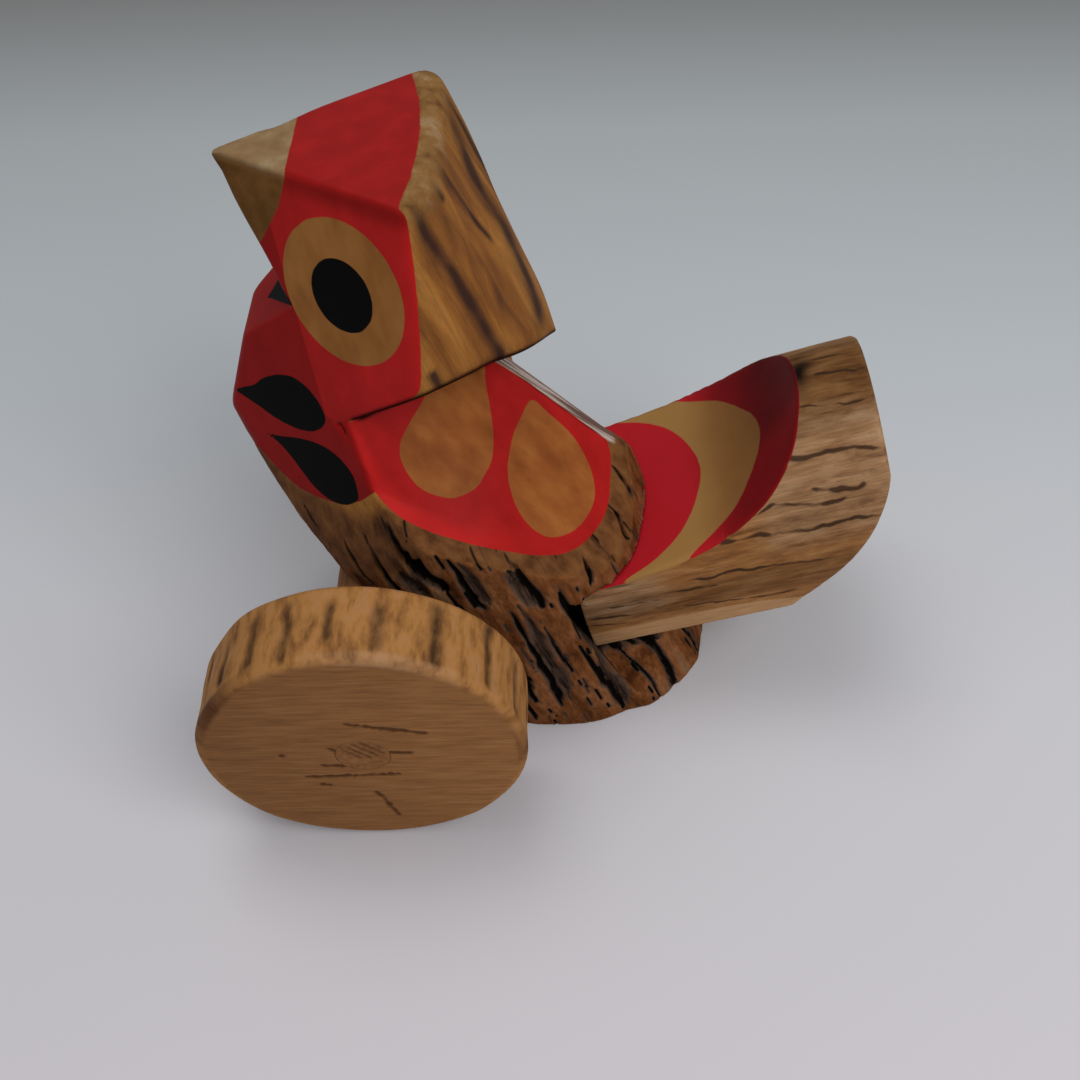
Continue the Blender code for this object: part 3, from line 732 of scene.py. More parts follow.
# %% Make the tail's skin
AROUND_TAIL = 336
turn = (np.arange(AROUND_TAIL) / AROUND_TAIL * TURN)[:, None]
lines = profile(tail_radius, turn, -20.0, 42.3, lambda r: -21.2 + 0.135 * r * np.sin(turn),
                lambda r: 42.5 + 0.045 * (r * np.sin(turn) + 5))
fine, worn = soften(lines, 2.5), soften(lines, 16)
at_end = 4 * worn[..., 2] * (1 - worn[..., 2]) * (lines[..., 1] > 20)
lines = respace(fine + (worn - fine) * at_end[..., None], 200, 5.0, 0.7)
radius, along = lines[..., 0], lines[..., 1]
up, side = tail_centre(along) + radius * np.sin(turn), radius * np.cos(turn)
grid = TAIL_AT + along[..., None] * TAIL_BACK + up[..., None] * TAIL_UP
grid = grid + np.stack([np.zeros_like(side), side, np.zeros_like(side)], -1)
limit = tail_limits(turn, along)
about = np.arctan2(up, side) / TURN
print("tail skin is", round(float(along.max() - along.min()), 1), "mm long")

# %% Open the tail's grain
CRACKS = [  # angle about the stock and way along it, from root to end, and half width in mm
    (((91, 33), (93, 41)), 0.7), (((103, 27), (108, 35), (109, 41)), 0.6),
    (((127, 25), (128, 31), (128.5, 37), (133, 42)), 0.9), (((143, 28), (145, 33), (147, 38)), 1.1),
    (((149, 17), (146, 21), (150.5, 28), (150, 35)), 0.8),
    (((159.5, 8), (159, 15), (160, 20), (162, 26), (161, 32), (162, 39)), 0.9),
    (((176, 0), (179.5, 5), (178, 9), (179, 15), (181, 20), (183.5, 27), (182, 30)), 0.9),
    (((199, -3), (202.5, 5), (207, 13), (208.5, 21)), 0.8), (((183, -3), (185, 1), (187, 7)), 0.6),
    (((192.5, -21), (195.7, -14), (199, -8), (200, -4)), 0.8),
    (((200, -21), (205, -13), (208, -6)), 0.6), (((186, -16), (187.5, -9), (190, -4)), 0.5)]
off, strength = tail_lanes(about, along)
groove = 0.7 * ease(0.8, 0.1, off) * strength
grain_line = 0.5 * wander(30 * about, along / 3.5, 30, 40)
grain_line = grain_line + 0.3 * wander(60 * about, along / 1.3, 60, 41)
for crack, half_width in CRACKS:
    place = np.interp(along, [p[1] for p in crack], [p[0] for p in crack])
    done = (along - crack[0][1]) / (crack[-1][1] - crack[0][1])
    ends = ease(-0.1, 0.12, done) * ease(1.1, 0.88, done)
    off = np.abs((about * 360 % 360 - place) / 360 * TURN * 23 + grain_line)
    broken = 0.8 + 0.5 * wander(40 * about, along / 2.2, 40, 42)
    trace = 0.45 * ease(1.3 * half_width, 0.4 * half_width, off)
    trace = trace + 0.65 * ease(0.55 * half_width, 0.05 * half_width, off)
    groove = np.maximum(groove, trace * ends * broken)
print(len(CRACKS), "cracks follow the grain")

# %% Paint the tail, with its weathering and its painted light and shade
TONGUE = [(30, 23.5), (46.2, 22.8), (50.6, 21.4), (55.3, 19.0), (60.2, 14.4), (63.6, 7.7),
          (65.2, 0)]                     # half of the red tongue in the scoop, seen from above
BAND = [(30, 40), (52, 29), (62.5, 20.8), (65.9, 18.3), (69.7, 15.2), (72.6, 10.6),
        (75.0, 5.0), (75.7, 0)]          # and of the tan band round it
x = grid[..., 0]
inner, outer = (inside(half + [(at, -out) for at, out in half[-2::-1]], x, side)
                for half in (TONGUE, BAND))
on_scoop = 0.8 - (limit["scoop"] - radius) * np.clip(np.sin(turn), 0.2, 1)
sawn = ease(0.1, -0.1, up + 12 + 5.5 * ease(5, 35, along)) * (np.sin(turn) < 0)
sawn = np.maximum(sawn, ease(0.7, 0.3, limit["floor"] - radius))
# Painted shade: the scoop's red and tan get darker up its steep far end, and darker still on its far
# half there.
painted_shading = 0.90 - 0.55 * ease(62, 72, x) - 0.22 * ease(70, 78, x) * ease(-8, 2, side)
patch = np.exp(-((x - 81.6) / 1.6) ** 2 - ((side - 1.0) / 4.0) ** 2)
patch = patch + 0.6 * np.exp(-((x - 83.5) / 1.6) ** 2 - ((side - 3.5) / 2.0) ** 2)
# Partly weathered wood, partly painted light: a paler band up the side towards the end, and one at mid
# height near the root.
rosy_wood_and_light = ease(0, 8, up) * ease(24.5, 21.5, up) * ease(14, 22, along)
rosy_wood_and_light = rosy_wood_and_light + ease(-9, -3, up) * ease(8, 2, up) * ease(0, -8, along)
# Painted shade: darker near the top towards the end, and low on the side.
tail_shade = ease(20, 24, up) * ease(20, 28, along) + 0.7 * ease(1, -2, up) * ease(-11, -8, up)
tail = skin("scooped_tail", (grid + (AXLE_X, 0, 0)) * MM, {
    "grain": np.stack([up, side, along], -1), "red": on_scoop,
    "tan": np.minimum(np.minimum(outer, -inner), on_scoop), "sawn": sawn,
    "groove": groove * ease(0.7, 0.3, limit["stock"] - radius - 0.6),
    "painted_shading": painted_shading, "patch": patch, "rosy_wood_and_light": rosy_wood_and_light, "tail_shade": tail_shade})
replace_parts(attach(tail, "bird"), "tail")

# %% [markdown]
# ## The wheels and their axle
# A wheel is a slice of a thinner branch with its bark peeled off: nearly round, flattened
# where the branch was. It is turned on paper like a lathe profile, and the radius is then
# let in or out with the angle.

# %% Marks of the tread and the faces
WHEEL_R, WHEEL_T, CORNER_R, HUB_R = 30.0, 16.0, 1.7, 5.02
INNER_FACE = 40.4                        # from the toy's middle, in mm
# Streaks: turn, start and end in mm from the toy's middle, half width in mm.
STREAKS = [(139, 45, 53.5, 0.8), (124, 43.7, 54, 0.7), (109.5, 43, 55, 0.7), (95, 44, 52, 0.4),
           (79, 44.7, 54, 0.8), (59.5, 42, 55, 1.3), (38, 41, 54.5, 0.7), (20, 43, 54, 0.7),
           (3, 46, 55, 0.6), (-15, 42, 53, 0.8), (-33, 44, 55, 0.5), (-50, 43, 52, 0.9),
           (-68, 42, 55, 0.6), (-86, 45, 54, 0.7), (-103, 43, 55, 0.8), (-120, 42, 51, 0.5),
           (-138, 44, 55, 0.7), (-155, 43, 54, 0.9), (-172, 46, 55, 0.6), (155, 43, 52, 0.5)]
# Scratches on the outer face: from and to, in mm from the axle.
SCRATCHES = [((-1.8, 10.6), (11.9, 7.2)), ((-5.5, 2.5), (-3.6, 0.7)), ((4.4, 1.2), (8.8, 0.6)),
             ((-7.6, -3.3), (2.5, -3.6)), ((-11.2, -7.3), (6, -6.6)), ((-8.7, -10.3), (-7.4, -10.4)),
             ((0.9, -13.3), (2.3, -16.5)), ((2.3, -16.5), (4.1, -22.1)), ((-14.7, 0.4), (-14.5, 0.4))]


def tread_streaks(turn, y, waver):
    """0-1: 1 on each streak's line, eased to 0 at 1 mm beyond its half width."""
    streak = 0
    for degrees, low, high, half_width in STREAKS:
        off = np.abs(angle_off(turn, radians(degrees)) * WHEEL_R + waver)
        ends = ease(low - 41.5, low - 39, y) * ease(high - 39, high - 41.5, y)
        streak = np.maximum(streak, ease(half_width + 1.0, 0.1, off) * ends)
    return streak


def face_scratches(x, z, rough):
    """0-1: 1 within 0.15 mm of a scratch's line and 0 beyond 0.75 mm, less where rough."""
    scratch = 0
    for (x0, z0), (x1, z1) in SCRATCHES:
        dx, dz = x1 - x0, z1 - z0
        k = np.clip(((x - x0) * dx + (z - z0) * dz) / (dx * dx + dz * dz), 0, 1)
        away = np.hypot(x - x0 - k * dx, z - z0 - k * dz)
        scratch = np.maximum(scratch, ease(0.75, 0.15, away + rough))
    return scratch


print(len(STREAKS), "streaks and", len(SCRATCHES), "scratches")


# %% Make the wheels
AROUND_WHEEL = 420


def wheel_skin(name, outward, dents, seed):
    """Profile loop carried round the axle line. The radius grows or shrinks by each dent,
    depth * exp(-(angle off / width)^2) fading to the hub, and is let in by the streaks of
    the tread. The scratches are 0.15 mm deep on the outer face."""
    corner = np.linspace(0, pi / 2, 14)
    arc_r = WHEEL_R - CORNER_R + CORNER_R * np.sin(corner)
    arc_y = CORNER_R * (1 - np.cos(corner))
    r = np.concatenate([np.linspace(HUB_R, 28.2, 40), arc_r, np.full(40, WHEEL_R), arc_r[::-1],
                        np.linspace(28.2, HUB_R, 90), np.full(10, HUB_R)])
    y = np.concatenate([np.zeros(40), arc_y, np.linspace(1.8, 14.2, 40), WHEEL_T - arc_y[::-1],
                        np.full(90, WHEEL_T), np.linspace(15.8, 0.2, 10)])
    turn = (np.arange(AROUND_WHEEL) / AROUND_WHEEL * TURN)[:, None]
    tread = ease(27.5, 29.5, r)[None]
    dent = sum(depth * np.exp(-(angle_off(turn, at) / width) ** 2)
               for at, width, depth in dents)
    streak = tread_streaks(turn, y, 0.5 * wander(24 * turn / TURN, y / 4, 24, seed))
    lump = 0.16 * wander(22 * turn / TURN, y[None] / 5, 22, seed + 3)
    radius = r + dent * ease(5, 30, r) + tread * (lump - 0.35 * streak - 0.15)
    x, z = radius * np.cos(turn), radius * np.sin(turn)
    rough = 0.35 * wander(90 * turn / TURN, r[None] / 1.2, 90, 91)
    scratch = face_scratches(x, z, rough) * (1 - tread) * (y > 8)
    at_corner = ease(2.8, 1.3, np.hypot(r - WHEEL_R, y - WHEEL_T))[None]
    pale, grimy, low = (np.exp(-(angle_off(turn, radians(at)) / radians(wide)) ** 2)
                        for at, wide in ((76, 30), (150, 22), (4, 14)))
    worn = at_corner * (0.7 * pale - grimy - 0.6 * low)
    face = (0.12 * wander(5 * turn / TURN, r[None] / 9, 5, seed + 4)
            * (1 - tread) * ease(6, 12, r) * np.where(y > 8, 1, -1)) - 0.15 * scratch
    grid = np.stack([x, outward * (INNER_FACE + y - 0.12 + face), WHEEL_R + z], -1)
    order = slice(None) if outward < 0 else slice(None, None, -1)
    wheel = skin(name, (grid[order] + (AXLE_X, 0, 0)) * MM, {
        "grain": grid[order] - (0, 0, WHEEL_R), "tread": (tread * np.ones_like(turn))[order],
        "streak": (streak * tread)[order], "scratch": scratch[order],
        "worn": worn[order]}, ring_closed=True)
    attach(wheel, "wheel_set")
    return wheel


near_wheel = wheel_skin("near_wheel", -1, [(radians(225), 0.42, 0.7),
                                           (radians(148), 0.25, -0.7)], 51)
far_wheel = wheel_skin("far_wheel", 1, [(radians(10), 0.60, -4.1), (radians(110), 0.5, -0.6)], 61)
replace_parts(near_wheel, "wheel_left")
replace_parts(far_wheel, "wheel_right")

# %% Make the axle
# Half of the bar's profile, from the tenon's end to the toy's middle, in mm.
half_r = np.array([0, 4.96, 5.01, 5.0, 5.0, 5.0, 7.9, 8.3, 8.35, 8.3])
half_y = np.array([56.27, 56.27, 56.23, 55.5, 48, 40.15, 40.1, 39.6, 20, 0])
knots = np.concatenate([half_y, -half_y[-2::-1]]), np.concatenate([half_r, half_r[-2::-1]])
run = np.concatenate([[0], np.cumsum(np.hypot(*np.diff(knots)))])
want = np.linspace(0, run[-1], 260)
y, r = np.interp(want, run, knots[0]), np.interp(want, run, knots[1])
turn = (np.arange(120) / 120 * TURN)[:, None]
bar = r + 0.07 * wander(20 * turn / TURN, y[None] / 18, 20, 71) * (r > 6)
grid = np.stack([bar * np.cos(turn), y * np.ones_like(turn),
                 WHEEL_R + bar * np.sin(turn)], -1)
end = np.abs(grid[..., 1]) > 56.1
# A small patch of cross-cut marks a little above the middle of the tenon's end.
hatch = 1 - np.hypot((grid[..., 0] - 0.4) / 4.0, (grid[..., 2] - 31.9) / 2.9)
axle = skin("axle_bar", (grid + (AXLE_X, 0, 0)) * MM, {
    "grain": grid - (0, 0, WHEEL_R), "hatch": ease(-0.05, 0.15, hatch) * end})
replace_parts(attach(axle, "wheel_set"), "axle")


# %% [markdown]
# ## Finishes
# Colours are written as they look on a screen and turned into light by one function. One
# more function adds a node, with its settings and what feeds it. Wood and bark are random
# clouds drawn out along the branch, so each material starts with a table of them.

# %% Colour and node helpers
OVER = {"data_type": "RGBA"}                             # a Mix that lays a colour over
TIMES = {"data_type": "RGBA", "blend_type": "MULTIPLY"}  # a Mix that darkens or lightens


def colour(text):
    """sRGB hex to linear light: ((v + 0.055) / 1.055) ^ 2.4, or v / 12.92 when dark."""
    v = np.array([int(text[k:k + 2], 16) for k in (1, 3, 5)]) / 255
    return (*np.where(v > 0.04045, ((v + 0.055) / 1.055) ** 2.4, v / 12.92), 1.0)


def feed(node, feeds):
    """Give inputs, by name or number, a value, a colour's hex, a socket, or a node whose
    first working output is meant."""
    for key, value in feeds.items():
        if isinstance(value, bpy.types.Node):
            value = next(out for out in value.outputs if out.enabled)
        if isinstance(value, bpy.types.NodeSocket):
            node.id_data.links.new(value, node.inputs[key])
        else:
            node.inputs[key].default_value = colour(value) if isinstance(value, str) else value


def add(tree, kind, feeds, stops=(), **settings):
    """Add a node with its settings and feeds; stops are a ramp's (place, hex). In a colour
    Mix, input 0 is the share, 6 what is there already and 7 what comes over it."""
    node = tree.nodes.new("ShaderNode" + kind)
    for key, value in settings.items():
        setattr(node, key, value)
    feed(node, feeds)
    for k, (place, tint) in enumerate(stops):
        band = node.color_ramp.elements
        element = band[k] if k < 2 else band.new(1.0)
        element.position, element.color = place, colour(tint)
    return node


print("mid grey is", round(colour("#808080")[0], 3), "in linear light")


# %% What every material starts from
def new_material(name, marks, textures):
    """A material with its node tree, its Principled shader with a weak 2 % sheen of oil, the
    grain's coordinates in mm, the named marks of the mesh, and noise textures: each is
    (repeats per mm of x, y and z, detail, roughness, distortion)."""
    material = bpy.data.materials.new(name)
    material.use_nodes = True
    tree = material.node_tree
    shader = tree.nodes["Principled BSDF"]
    shader.inputs["Specular IOR Level"].default_value = 0.04
    grain = add(tree, "Attribute", {}, attribute_name="grain").outputs["Vector"]
    mark = {kind: add(tree, "Attribute", {}, attribute_name=kind).outputs["Fac"]
            for kind in marks}
    noise = {}
    for kind, (repeats, detail, rough, warp) in textures.items():
        place = add(tree, "Mapping", {"Vector": grain, "Scale": repeats})
        noise[kind] = add(tree, "TexNoise", {"Vector": place, "Scale": 1.0, "Detail": detail,
                                             "Roughness": rough, "Distortion": warp})
    return material, tree, shader, grain, mark, noise


def paint_over(tree, base, mark, coats, wobble, soft):
    """Lay each coat of (mark, paint) over base. Its border is where the mark, moved by up to
    0.12 mm as a hand wavers, passes zero, eased over `soft` mm either way. Gives the new
    base and each coat's mask."""
    waver = add(tree, "MapRange", {0: wobble, 3: -0.12, 4: 0.12})
    masks = []
    for name, paint in coats:
        edge = add(tree, "Math", {0: mark[name], 1: waver}, operation="ADD")
        masks.append(add(tree, "MapRange", {0: edge, 1: -soft, 2: soft},
                         interpolation_type="SMOOTHSTEP"))
        base = add(tree, "Mix", {0: masks[-1], 6: base, 7: paint}, **OVER)
    return base, masks


# %% [markdown]
# ## The log's wood, bark and paint
# The branch was oiled before it was painted, so its bare wood is a deep red-brown with soft
# blotches. The enamel is thin and flat: it has hardly any gloss and shows no brush marks.

# %% The log's wood
log_wood, tree, shader, grain, mark, noise = new_material(
    "oiled_branch_wood_with_enamel_and_bark",
    ("red", "tan", "drop", "beak", "black", "painted_shading", "top", "bark", "furrow_and_shade", "kerf_and_shade", "streak",
     "strip", "rim", "crown", "frayed"),
    {"blotches": ((0.16, 0.16, 0.04), 5.0, 0.55, 0.4),
     "fibres": ((2.0, 2.0, 0.11), 5.0, 0.65, 0.0),
     "dirt": ((0.3, 0.3, 0.3), 6.0, 0.5, 0.0),
     "ring": ((0.4, 0.4, 0.2), 6.0, 0.5, 0.0),
     "strip": ((0.05, 0.75, 0.02), 4.0, 0.5, 0.0),
     "plates": ((0.2, 0.2, 0.065), 6.0, 0.62, 0.5),
     "scales": ((1.0, 1.0, 0.4), 6.0, 0.7, 0.0),
     "tears": ((2.4, 2.4, 2.4), 3.0, 0.5, 0.0),
     "drift": ((0.25, 0.25, 0.10), 5.0, 0.5, 0.0),
     "wobble": ((0.45, 0.45, 0.45), 2.0, 0.5, 0.0)})
# Oiled fruit wood: blotches about 6 mm wide and 25 mm long, deep brown to ochre.
wood = add(tree, "ValToRGB", {0: noise["blotches"]}, [
    (0.28, "#583824"), (0.40, "#7E4E27"), (0.50, "#925E2C"), (0.62, "#A67036"),
    (0.75, "#82582F")])
# Fibres: threads half a millimetre wide that lighten and darken the blotches by a tenth.
thread = add(tree, "MapRange", {0: noise["fibres"], 1: 0.3, 2: 0.7, 3: 0.86, 4: 1.12})
wood = add(tree, "Mix", {0: 1.0, 6: wood, 7: thread}, **TIMES)
# Old sap stains on the head: purple-brown.
sap = add(tree, "MapRange", {0: mark["streak"], 2: 0.75, 4: 0.92})
wood = add(tree, "Mix", {0: sap, 6: wood, 7: "#34221E"}, **OVER)
# Bare end grain behind the crown's paint: greyer and paler than the side.
crown_tint = add(tree, "ValToRGB", {0: noise["dirt"]}, [(0.32, "#583A20"), (0.45, "#7C5830"),
                                               (0.56, "#8C683E"), (0.68, "#9A8060")])
crown_edge = add(tree, "MapRange", {0: mark["crown"], 3: 0.0, 4: 0.9})
wood = add(tree, "Mix", {0: crown_edge, 6: wood, 7: crown_tint}, **OVER)
# Bark cut through by the saw: a smooth brown ring round each wing.
ring_tint = add(tree, "ValToRGB", {0: noise["ring"]}, [
    (0.3, "#4E2E18"), (0.5, "#6E4526"), (0.7, "#80542E")])
wood = add(tree, "Mix", {0: mark["rim"], 6: wood, 7: ring_tint}, **OVER)
# The strip along the ridge was never painted: bare wood with three brown-grey lines, its pale
# grey-white partly painted glare.
strip_wood_and_glare = add(tree, "ValToRGB", {0: noise["strip"]}, [
    (0.38, "#6A5248"), (0.46, "#B4A096"), (0.56, "#C8B8AC"), (0.64, "#806458")])
wood = add(tree, "Mix", {0: mark["strip"], 6: wood, 7: strip_wood_and_glare}, **OVER)
print("wood takes", len(tree.nodes), "nodes")

# %% The log's bark
# Plates: patches about 5 mm wide and 15 mm long, sprinkled with flakes of a millimetre.
bark_tint = add(tree, "ValToRGB", {0: noise["plates"]}, [
    (0.28, "#3A2012"), (0.40, "#5E3519"), (0.50, "#754626"), (0.60, "#845433"),
    (0.72, "#766048")])
flake = add(tree, "MapRange", {0: noise["scales"], 1: 0.32, 2: 0.68, 3: 0.62, 4: 1.3})
bark_tint = add(tree, "Mix", {0: 1.0, 6: bark_tint, 7: flake}, **TIMES)
# A furrow's sides are grey-brown fibre, hatched along the branch; its bottom is black. The notch
# beside the tail's seat takes the same dark, as painted shadow.
lip = add(tree, "MapRange", {0: mark["furrow_and_shade"], 1: 0.02, 2: 0.25, 3: 0.0, 4: 0.8})
bark_tint = add(tree, "Mix", {0: lip, 6: bark_tint, 7: "#4C4038"}, **OVER)
ragged = add(tree, "Math", {0: noise["fibres"], 1: 0.8, 2: mark["furrow_and_shade"]}, operation="MULTIPLY_ADD")
core = add(tree, "MapRange", {0: ragged, 1: 0.66, 2: 1.02, 3: 1.0, 4: 0.03})
bark_tint = add(tree, "Mix", {0: 1.0, 6: bark_tint, 7: core}, **TIMES)
# Torn fibres stand up whitish where the tail was let in.
tears = add(tree, "MapRange", {0: noise["tears"], 1: 0.48, 2: 0.58})
tears = add(tree, "Math", {0: tears, 1: mark["frayed"]}, operation="MULTIPLY")
bark_tint = add(tree, "Mix", {0: tears, 6: bark_tint, 7: "#BCA898"}, **OVER)
showing = add(tree, "Math", {0: mark["bark"], 1: mark["furrow_and_shade"]}, operation="MAXIMUM")
base = add(tree, "Mix", {0: showing, 6: wood, 7: bark_tint}, **OVER)
print("wood and bark take", len(tree.nodes), "nodes")

# %% The log's paint
# Enamel, hand brushed: the tint drifts a little over a few centimetres. Painted light and shade is
# added to it, flat by flat.
drift_and_shading = add(tree, "Math", {0: noise["drift"], 1: 0.3, 2: mark["painted_shading"]}, operation="MULTIPLY_ADD")
red_paint = add(tree, "ValToRGB", {0: drift_and_shading}, [(0.15, "#500C0C"), (0.65, "#8C1614"),
                                               (1.0, "#C02221")])
tan_paint = add(tree, "ValToRGB", {0: noise["drift"]}, [(0.3, "#855529"), (0.5, "#93602F"),
                                               (0.7, "#9C6836")])
# The teardrops are stained, not covered: the wood's threads show through.
stain = add(tree, "ValToRGB", {0: noise["drift"]}, [(0.3, "#814620"), (0.5, "#925327"),
                                           (0.7, "#9E602D")])
# The beak's tan is thin and dirty, olive in the hollows of the wood; its part on the crown's top is
# painted lighter, as painted light.
dirt_and_top_light = add(tree, "Math", {0: noise["dirt"], 1: 0.4}, operation="MULTIPLY")
dirt_and_top_light = add(tree, "Math", {0: mark["top"], 1: 0.45, 2: dirt_and_top_light}, operation="MULTIPLY_ADD")
beak_paint = add(tree, "ValToRGB", {0: dirt_and_top_light}, [(0.12, "#553616"), (0.25, "#6E4A22"),
                                                (0.5, "#6E5232"), (0.66, "#846848"),
                                                (0.76, "#94805F")])
coats = (("red", red_paint), ("tan", tan_paint), ("drop", stain), ("beak", beak_paint),
         ("black", "#020202"))
base, masks = paint_over(tree, base, mark, coats, noise["wobble"], 0.09)
painted = 0.0
for mask in masks:
    painted = add(tree, "Math", {0: painted, 1: mask}, operation="MAXIMUM")
# Painted shadow: the lines under the head's overhang and beside the ridge strip go nearly black.
shade = add(tree, "MapRange", {0: mark["kerf_and_shade"], 1: 0.1, 2: 0.7, 3: 1.0, 4: 0.04})
base = add(tree, "Mix", {0: 1.0, 6: base, 7: shade}, **TIMES)
matt = add(tree, "MapRange", {0: mark["bark"], 3: 0.55, 4: 0.9})
gloss = add(tree, "Mix", {0: painted, 2: matt, 3: 0.45}, data_type="FLOAT")
relief = add(tree, "Mix", {0: mark["bark"], 2: noise["fibres"], 3: noise["scales"]}, data_type="FLOAT")
depth = add(tree, "Mix", {0: painted, 2: 0.7, 3: 0.08}, data_type="FLOAT")
bump = add(tree, "Bump", {"Strength": depth, "Distance": 0.0007, "Height": relief})
feed(shader, {"Base Color": base, "Roughness": gloss, "Normal": bump})
log.data.materials.append(log_wood)
print(log_wood.name, len(tree.nodes), "nodes")

# %% [markdown]
# ## The tail's wood and paint
# The tail's branch lost its bark, and weather opened its grain into grooves. Its scoop has
# a red tongue, a tan band and a red border.

# %% The tail's material
tail_wood, tree, shader, grain, mark, noise = new_material(
    "peeled_branch_wood_with_enamel",
    ("red", "tan", "painted_shading", "sawn", "groove", "patch", "rosy_wood_and_light", "tail_shade"),
    {"blotches": ((0.4, 0.4, 0.09), 6.0, 0.62, 0.4),
     "fibres": ((2.4, 2.4, 0.14), 5.0, 0.65, 0.0),
     "drift": ((0.2, 0.2, 0.2), 5.0, 0.5, 0.0),
     "wobble": ((0.4, 0.4, 0.4), 2.0, 0.5, 0.0)})
# Weathered sapwood: streaks about 2.5 mm wide and 11 mm long.
wood = add(tree, "ValToRGB", {0: noise["blotches"]}, [
    (0.30, "#684328"), (0.41, "#885A33"), (0.52, "#9C6B3E"), (0.63, "#AB7A4C"),
    (0.76, "#946A46")])
# A paler, rosier band up the side towards the end is partly weathered wood and partly painted light.
# Near the top towards the end, and low on the side, the wood is darkened as painted shade.
rosy_wood_and_light = add(tree, "ValToRGB", {0: noise["blotches"]}, [
    (0.32, "#7A583E"), (0.45, "#96704E"), (0.56, "#A5805E"), (0.68, "#AC8C6C")])
weathering_and_light_share = add(tree, "Math", {0: mark["rosy_wood_and_light"], 1: 0.85}, operation="MULTIPLY")
wood = add(tree, "Mix", {0: weathering_and_light_share, 6: wood, 7: rosy_wood_and_light}, **OVER)
tail_shade_factor = add(tree, "MapRange", {0: mark["tail_shade"], 3: 1.0, 4: 0.55})
wood = add(tree, "Mix", {0: 1.0, 6: wood, 7: tail_shade_factor}, **TIMES)
thread = add(tree, "MapRange", {0: noise["fibres"], 1: 0.3, 2: 0.7, 3: 0.80, 4: 1.15})
wood = add(tree, "Mix", {0: 1.0, 6: wood, 7: thread}, **TIMES)
ragged = add(tree, "Math", {0: noise["fibres"], 1: mark["groove"], 2: mark["groove"]},
             operation="MULTIPLY_ADD")
ragged = add(tree, "MapRange", {0: ragged, 1: 0.45, 2: 1.1, 3: 0.0, 4: 0.9})
wood = add(tree, "Mix", {0: ragged, 6: wood, 7: "#38251A"}, **OVER)
wood = add(tree, "Mix", {0: mark["patch"], 6: wood, 7: "#140C08"}, **OVER)
# Fresh saw cuts on its two lower edges and its end are paler.
sawn_tint = add(tree, "ValToRGB", {0: noise["fibres"]}, [(0.3, "#A27650"), (0.5, "#BD9064"),
                                                (0.7, "#CBA074")])
base = add(tree, "Mix", {0: mark["sawn"], 6: wood, 7: sawn_tint}, **OVER)
# The paint's drift, with painted shade up the scoop's steep end.
drift_and_shading = add(tree, "Math", {0: noise["drift"], 1: 0.2, 2: mark["painted_shading"]}, operation="MULTIPLY_ADD")
red_paint = add(tree, "ValToRGB", {0: drift_and_shading}, [(0.1, "#420A0E"), (0.6, "#861519"),
                                               (1.0, "#B21E26")])
tan_paint = add(tree, "ValToRGB", {0: drift_and_shading}, [(0.1, "#6C4826"), (0.6, "#8A6034"),
                                               (1.0, "#9E7642")])
coats = (("red", red_paint), ("tan", tan_paint))
base, (painted, _) = paint_over(tree, base, mark, coats, noise["wobble"], 0.1)
gloss = add(tree, "MapRange", {0: painted, 3: 0.65, 4: 0.45})
depth = add(tree, "MapRange", {0: painted, 3: 0.7, 4: 0.08})
bump = add(tree, "Bump", {"Strength": depth, "Distance": 0.0006, "Height": noise["fibres"]})
feed(shader, {"Base Color": base, "Roughness": gloss, "Normal": bump})
tail.data.materials.append(tail_wood)
print(tail_wood.name, len(tree.nodes), "nodes")

# %% [markdown]
# ## The wheels' and the axle's wood
# The tread is the skin of a peeled branch, with dark streaks where twigs and splits ran. The
# faces still show the lines of the saw.

# %% The wheels' material
wheel_wood, tree, shader, grain, mark, noise = new_material(
    "oiled_branch_slice_wood", ("tread", "streak", "scratch", "worn"),
    {"clouds": ((0.42, 0.14, 0.42), 7.0, 0.6, 0.0),
     "grit": ((0.12, 1.0, 1.2), 6.0, 0.6, 0.0)})
# Peeled sapwood: clouds about 2.5 mm wide and 7 mm long, drawn out along the axle.
tread_tint = add(tree, "ValToRGB", {0: noise["clouds"]}, [
    (0.30, "#6A4426"), (0.42, "#8A5E34"), (0.52, "#9E6E3C"), (0.62, "#A47448"),
    (0.74, "#8A6644")])
stained = add(tree, "MapRange", {0: noise["clouds"], 1: 0.30, 2: 0.62, 3: 1.0, 4: 0.55})
stained = add(tree, "Math", {0: stained, 1: mark["streak"]}, operation="MULTIPLY")
tread_tint = add(tree, "Mix", {0: stained, 6: tread_tint, 7: "#2E2018"}, **OVER)
# Saw lines: one each 0.55 mm, level, blurred and broken by the wood.
saw = add(tree, "TexWave", {"Vector": grain, "Scale": 0.57, "Distortion": 3.0, "Detail": 2.0,
                            "Detail Scale": 0.4}, bands_direction="Z")
face_tint = add(tree, "ValToRGB", {0: noise["grit"]}, [
    (0.3, "#7C5432"), (0.5, "#8C5F38"), (0.7, "#966A42")])
saw_shade = add(tree, "MapRange", {0: saw, 3: 0.92, 4: 1.06})
face_tint = add(tree, "Mix", {0: 1.0, 6: face_tint, 7: saw_shade}, **TIMES)
across = add(tree, "SeparateXYZ", {0: grain}).outputs["X"]
side_shade = add(tree, "MapRange", {0: across, 1: -28.0, 2: 22.0, 3: 0.80, 4: 1.08})
face_tint = add(tree, "Mix", {0: 1.0, 6: face_tint, 7: side_shade}, **TIMES)
gouge = add(tree, "Math", {0: mark["scratch"], 1: 0.8}, operation="MULTIPLY")
face_tint = add(tree, "Mix", {0: gouge, 6: face_tint, 7: "#3E2414"}, **OVER)
base = add(tree, "Mix", {0: mark["tread"], 6: face_tint, 7: tread_tint}, **OVER)
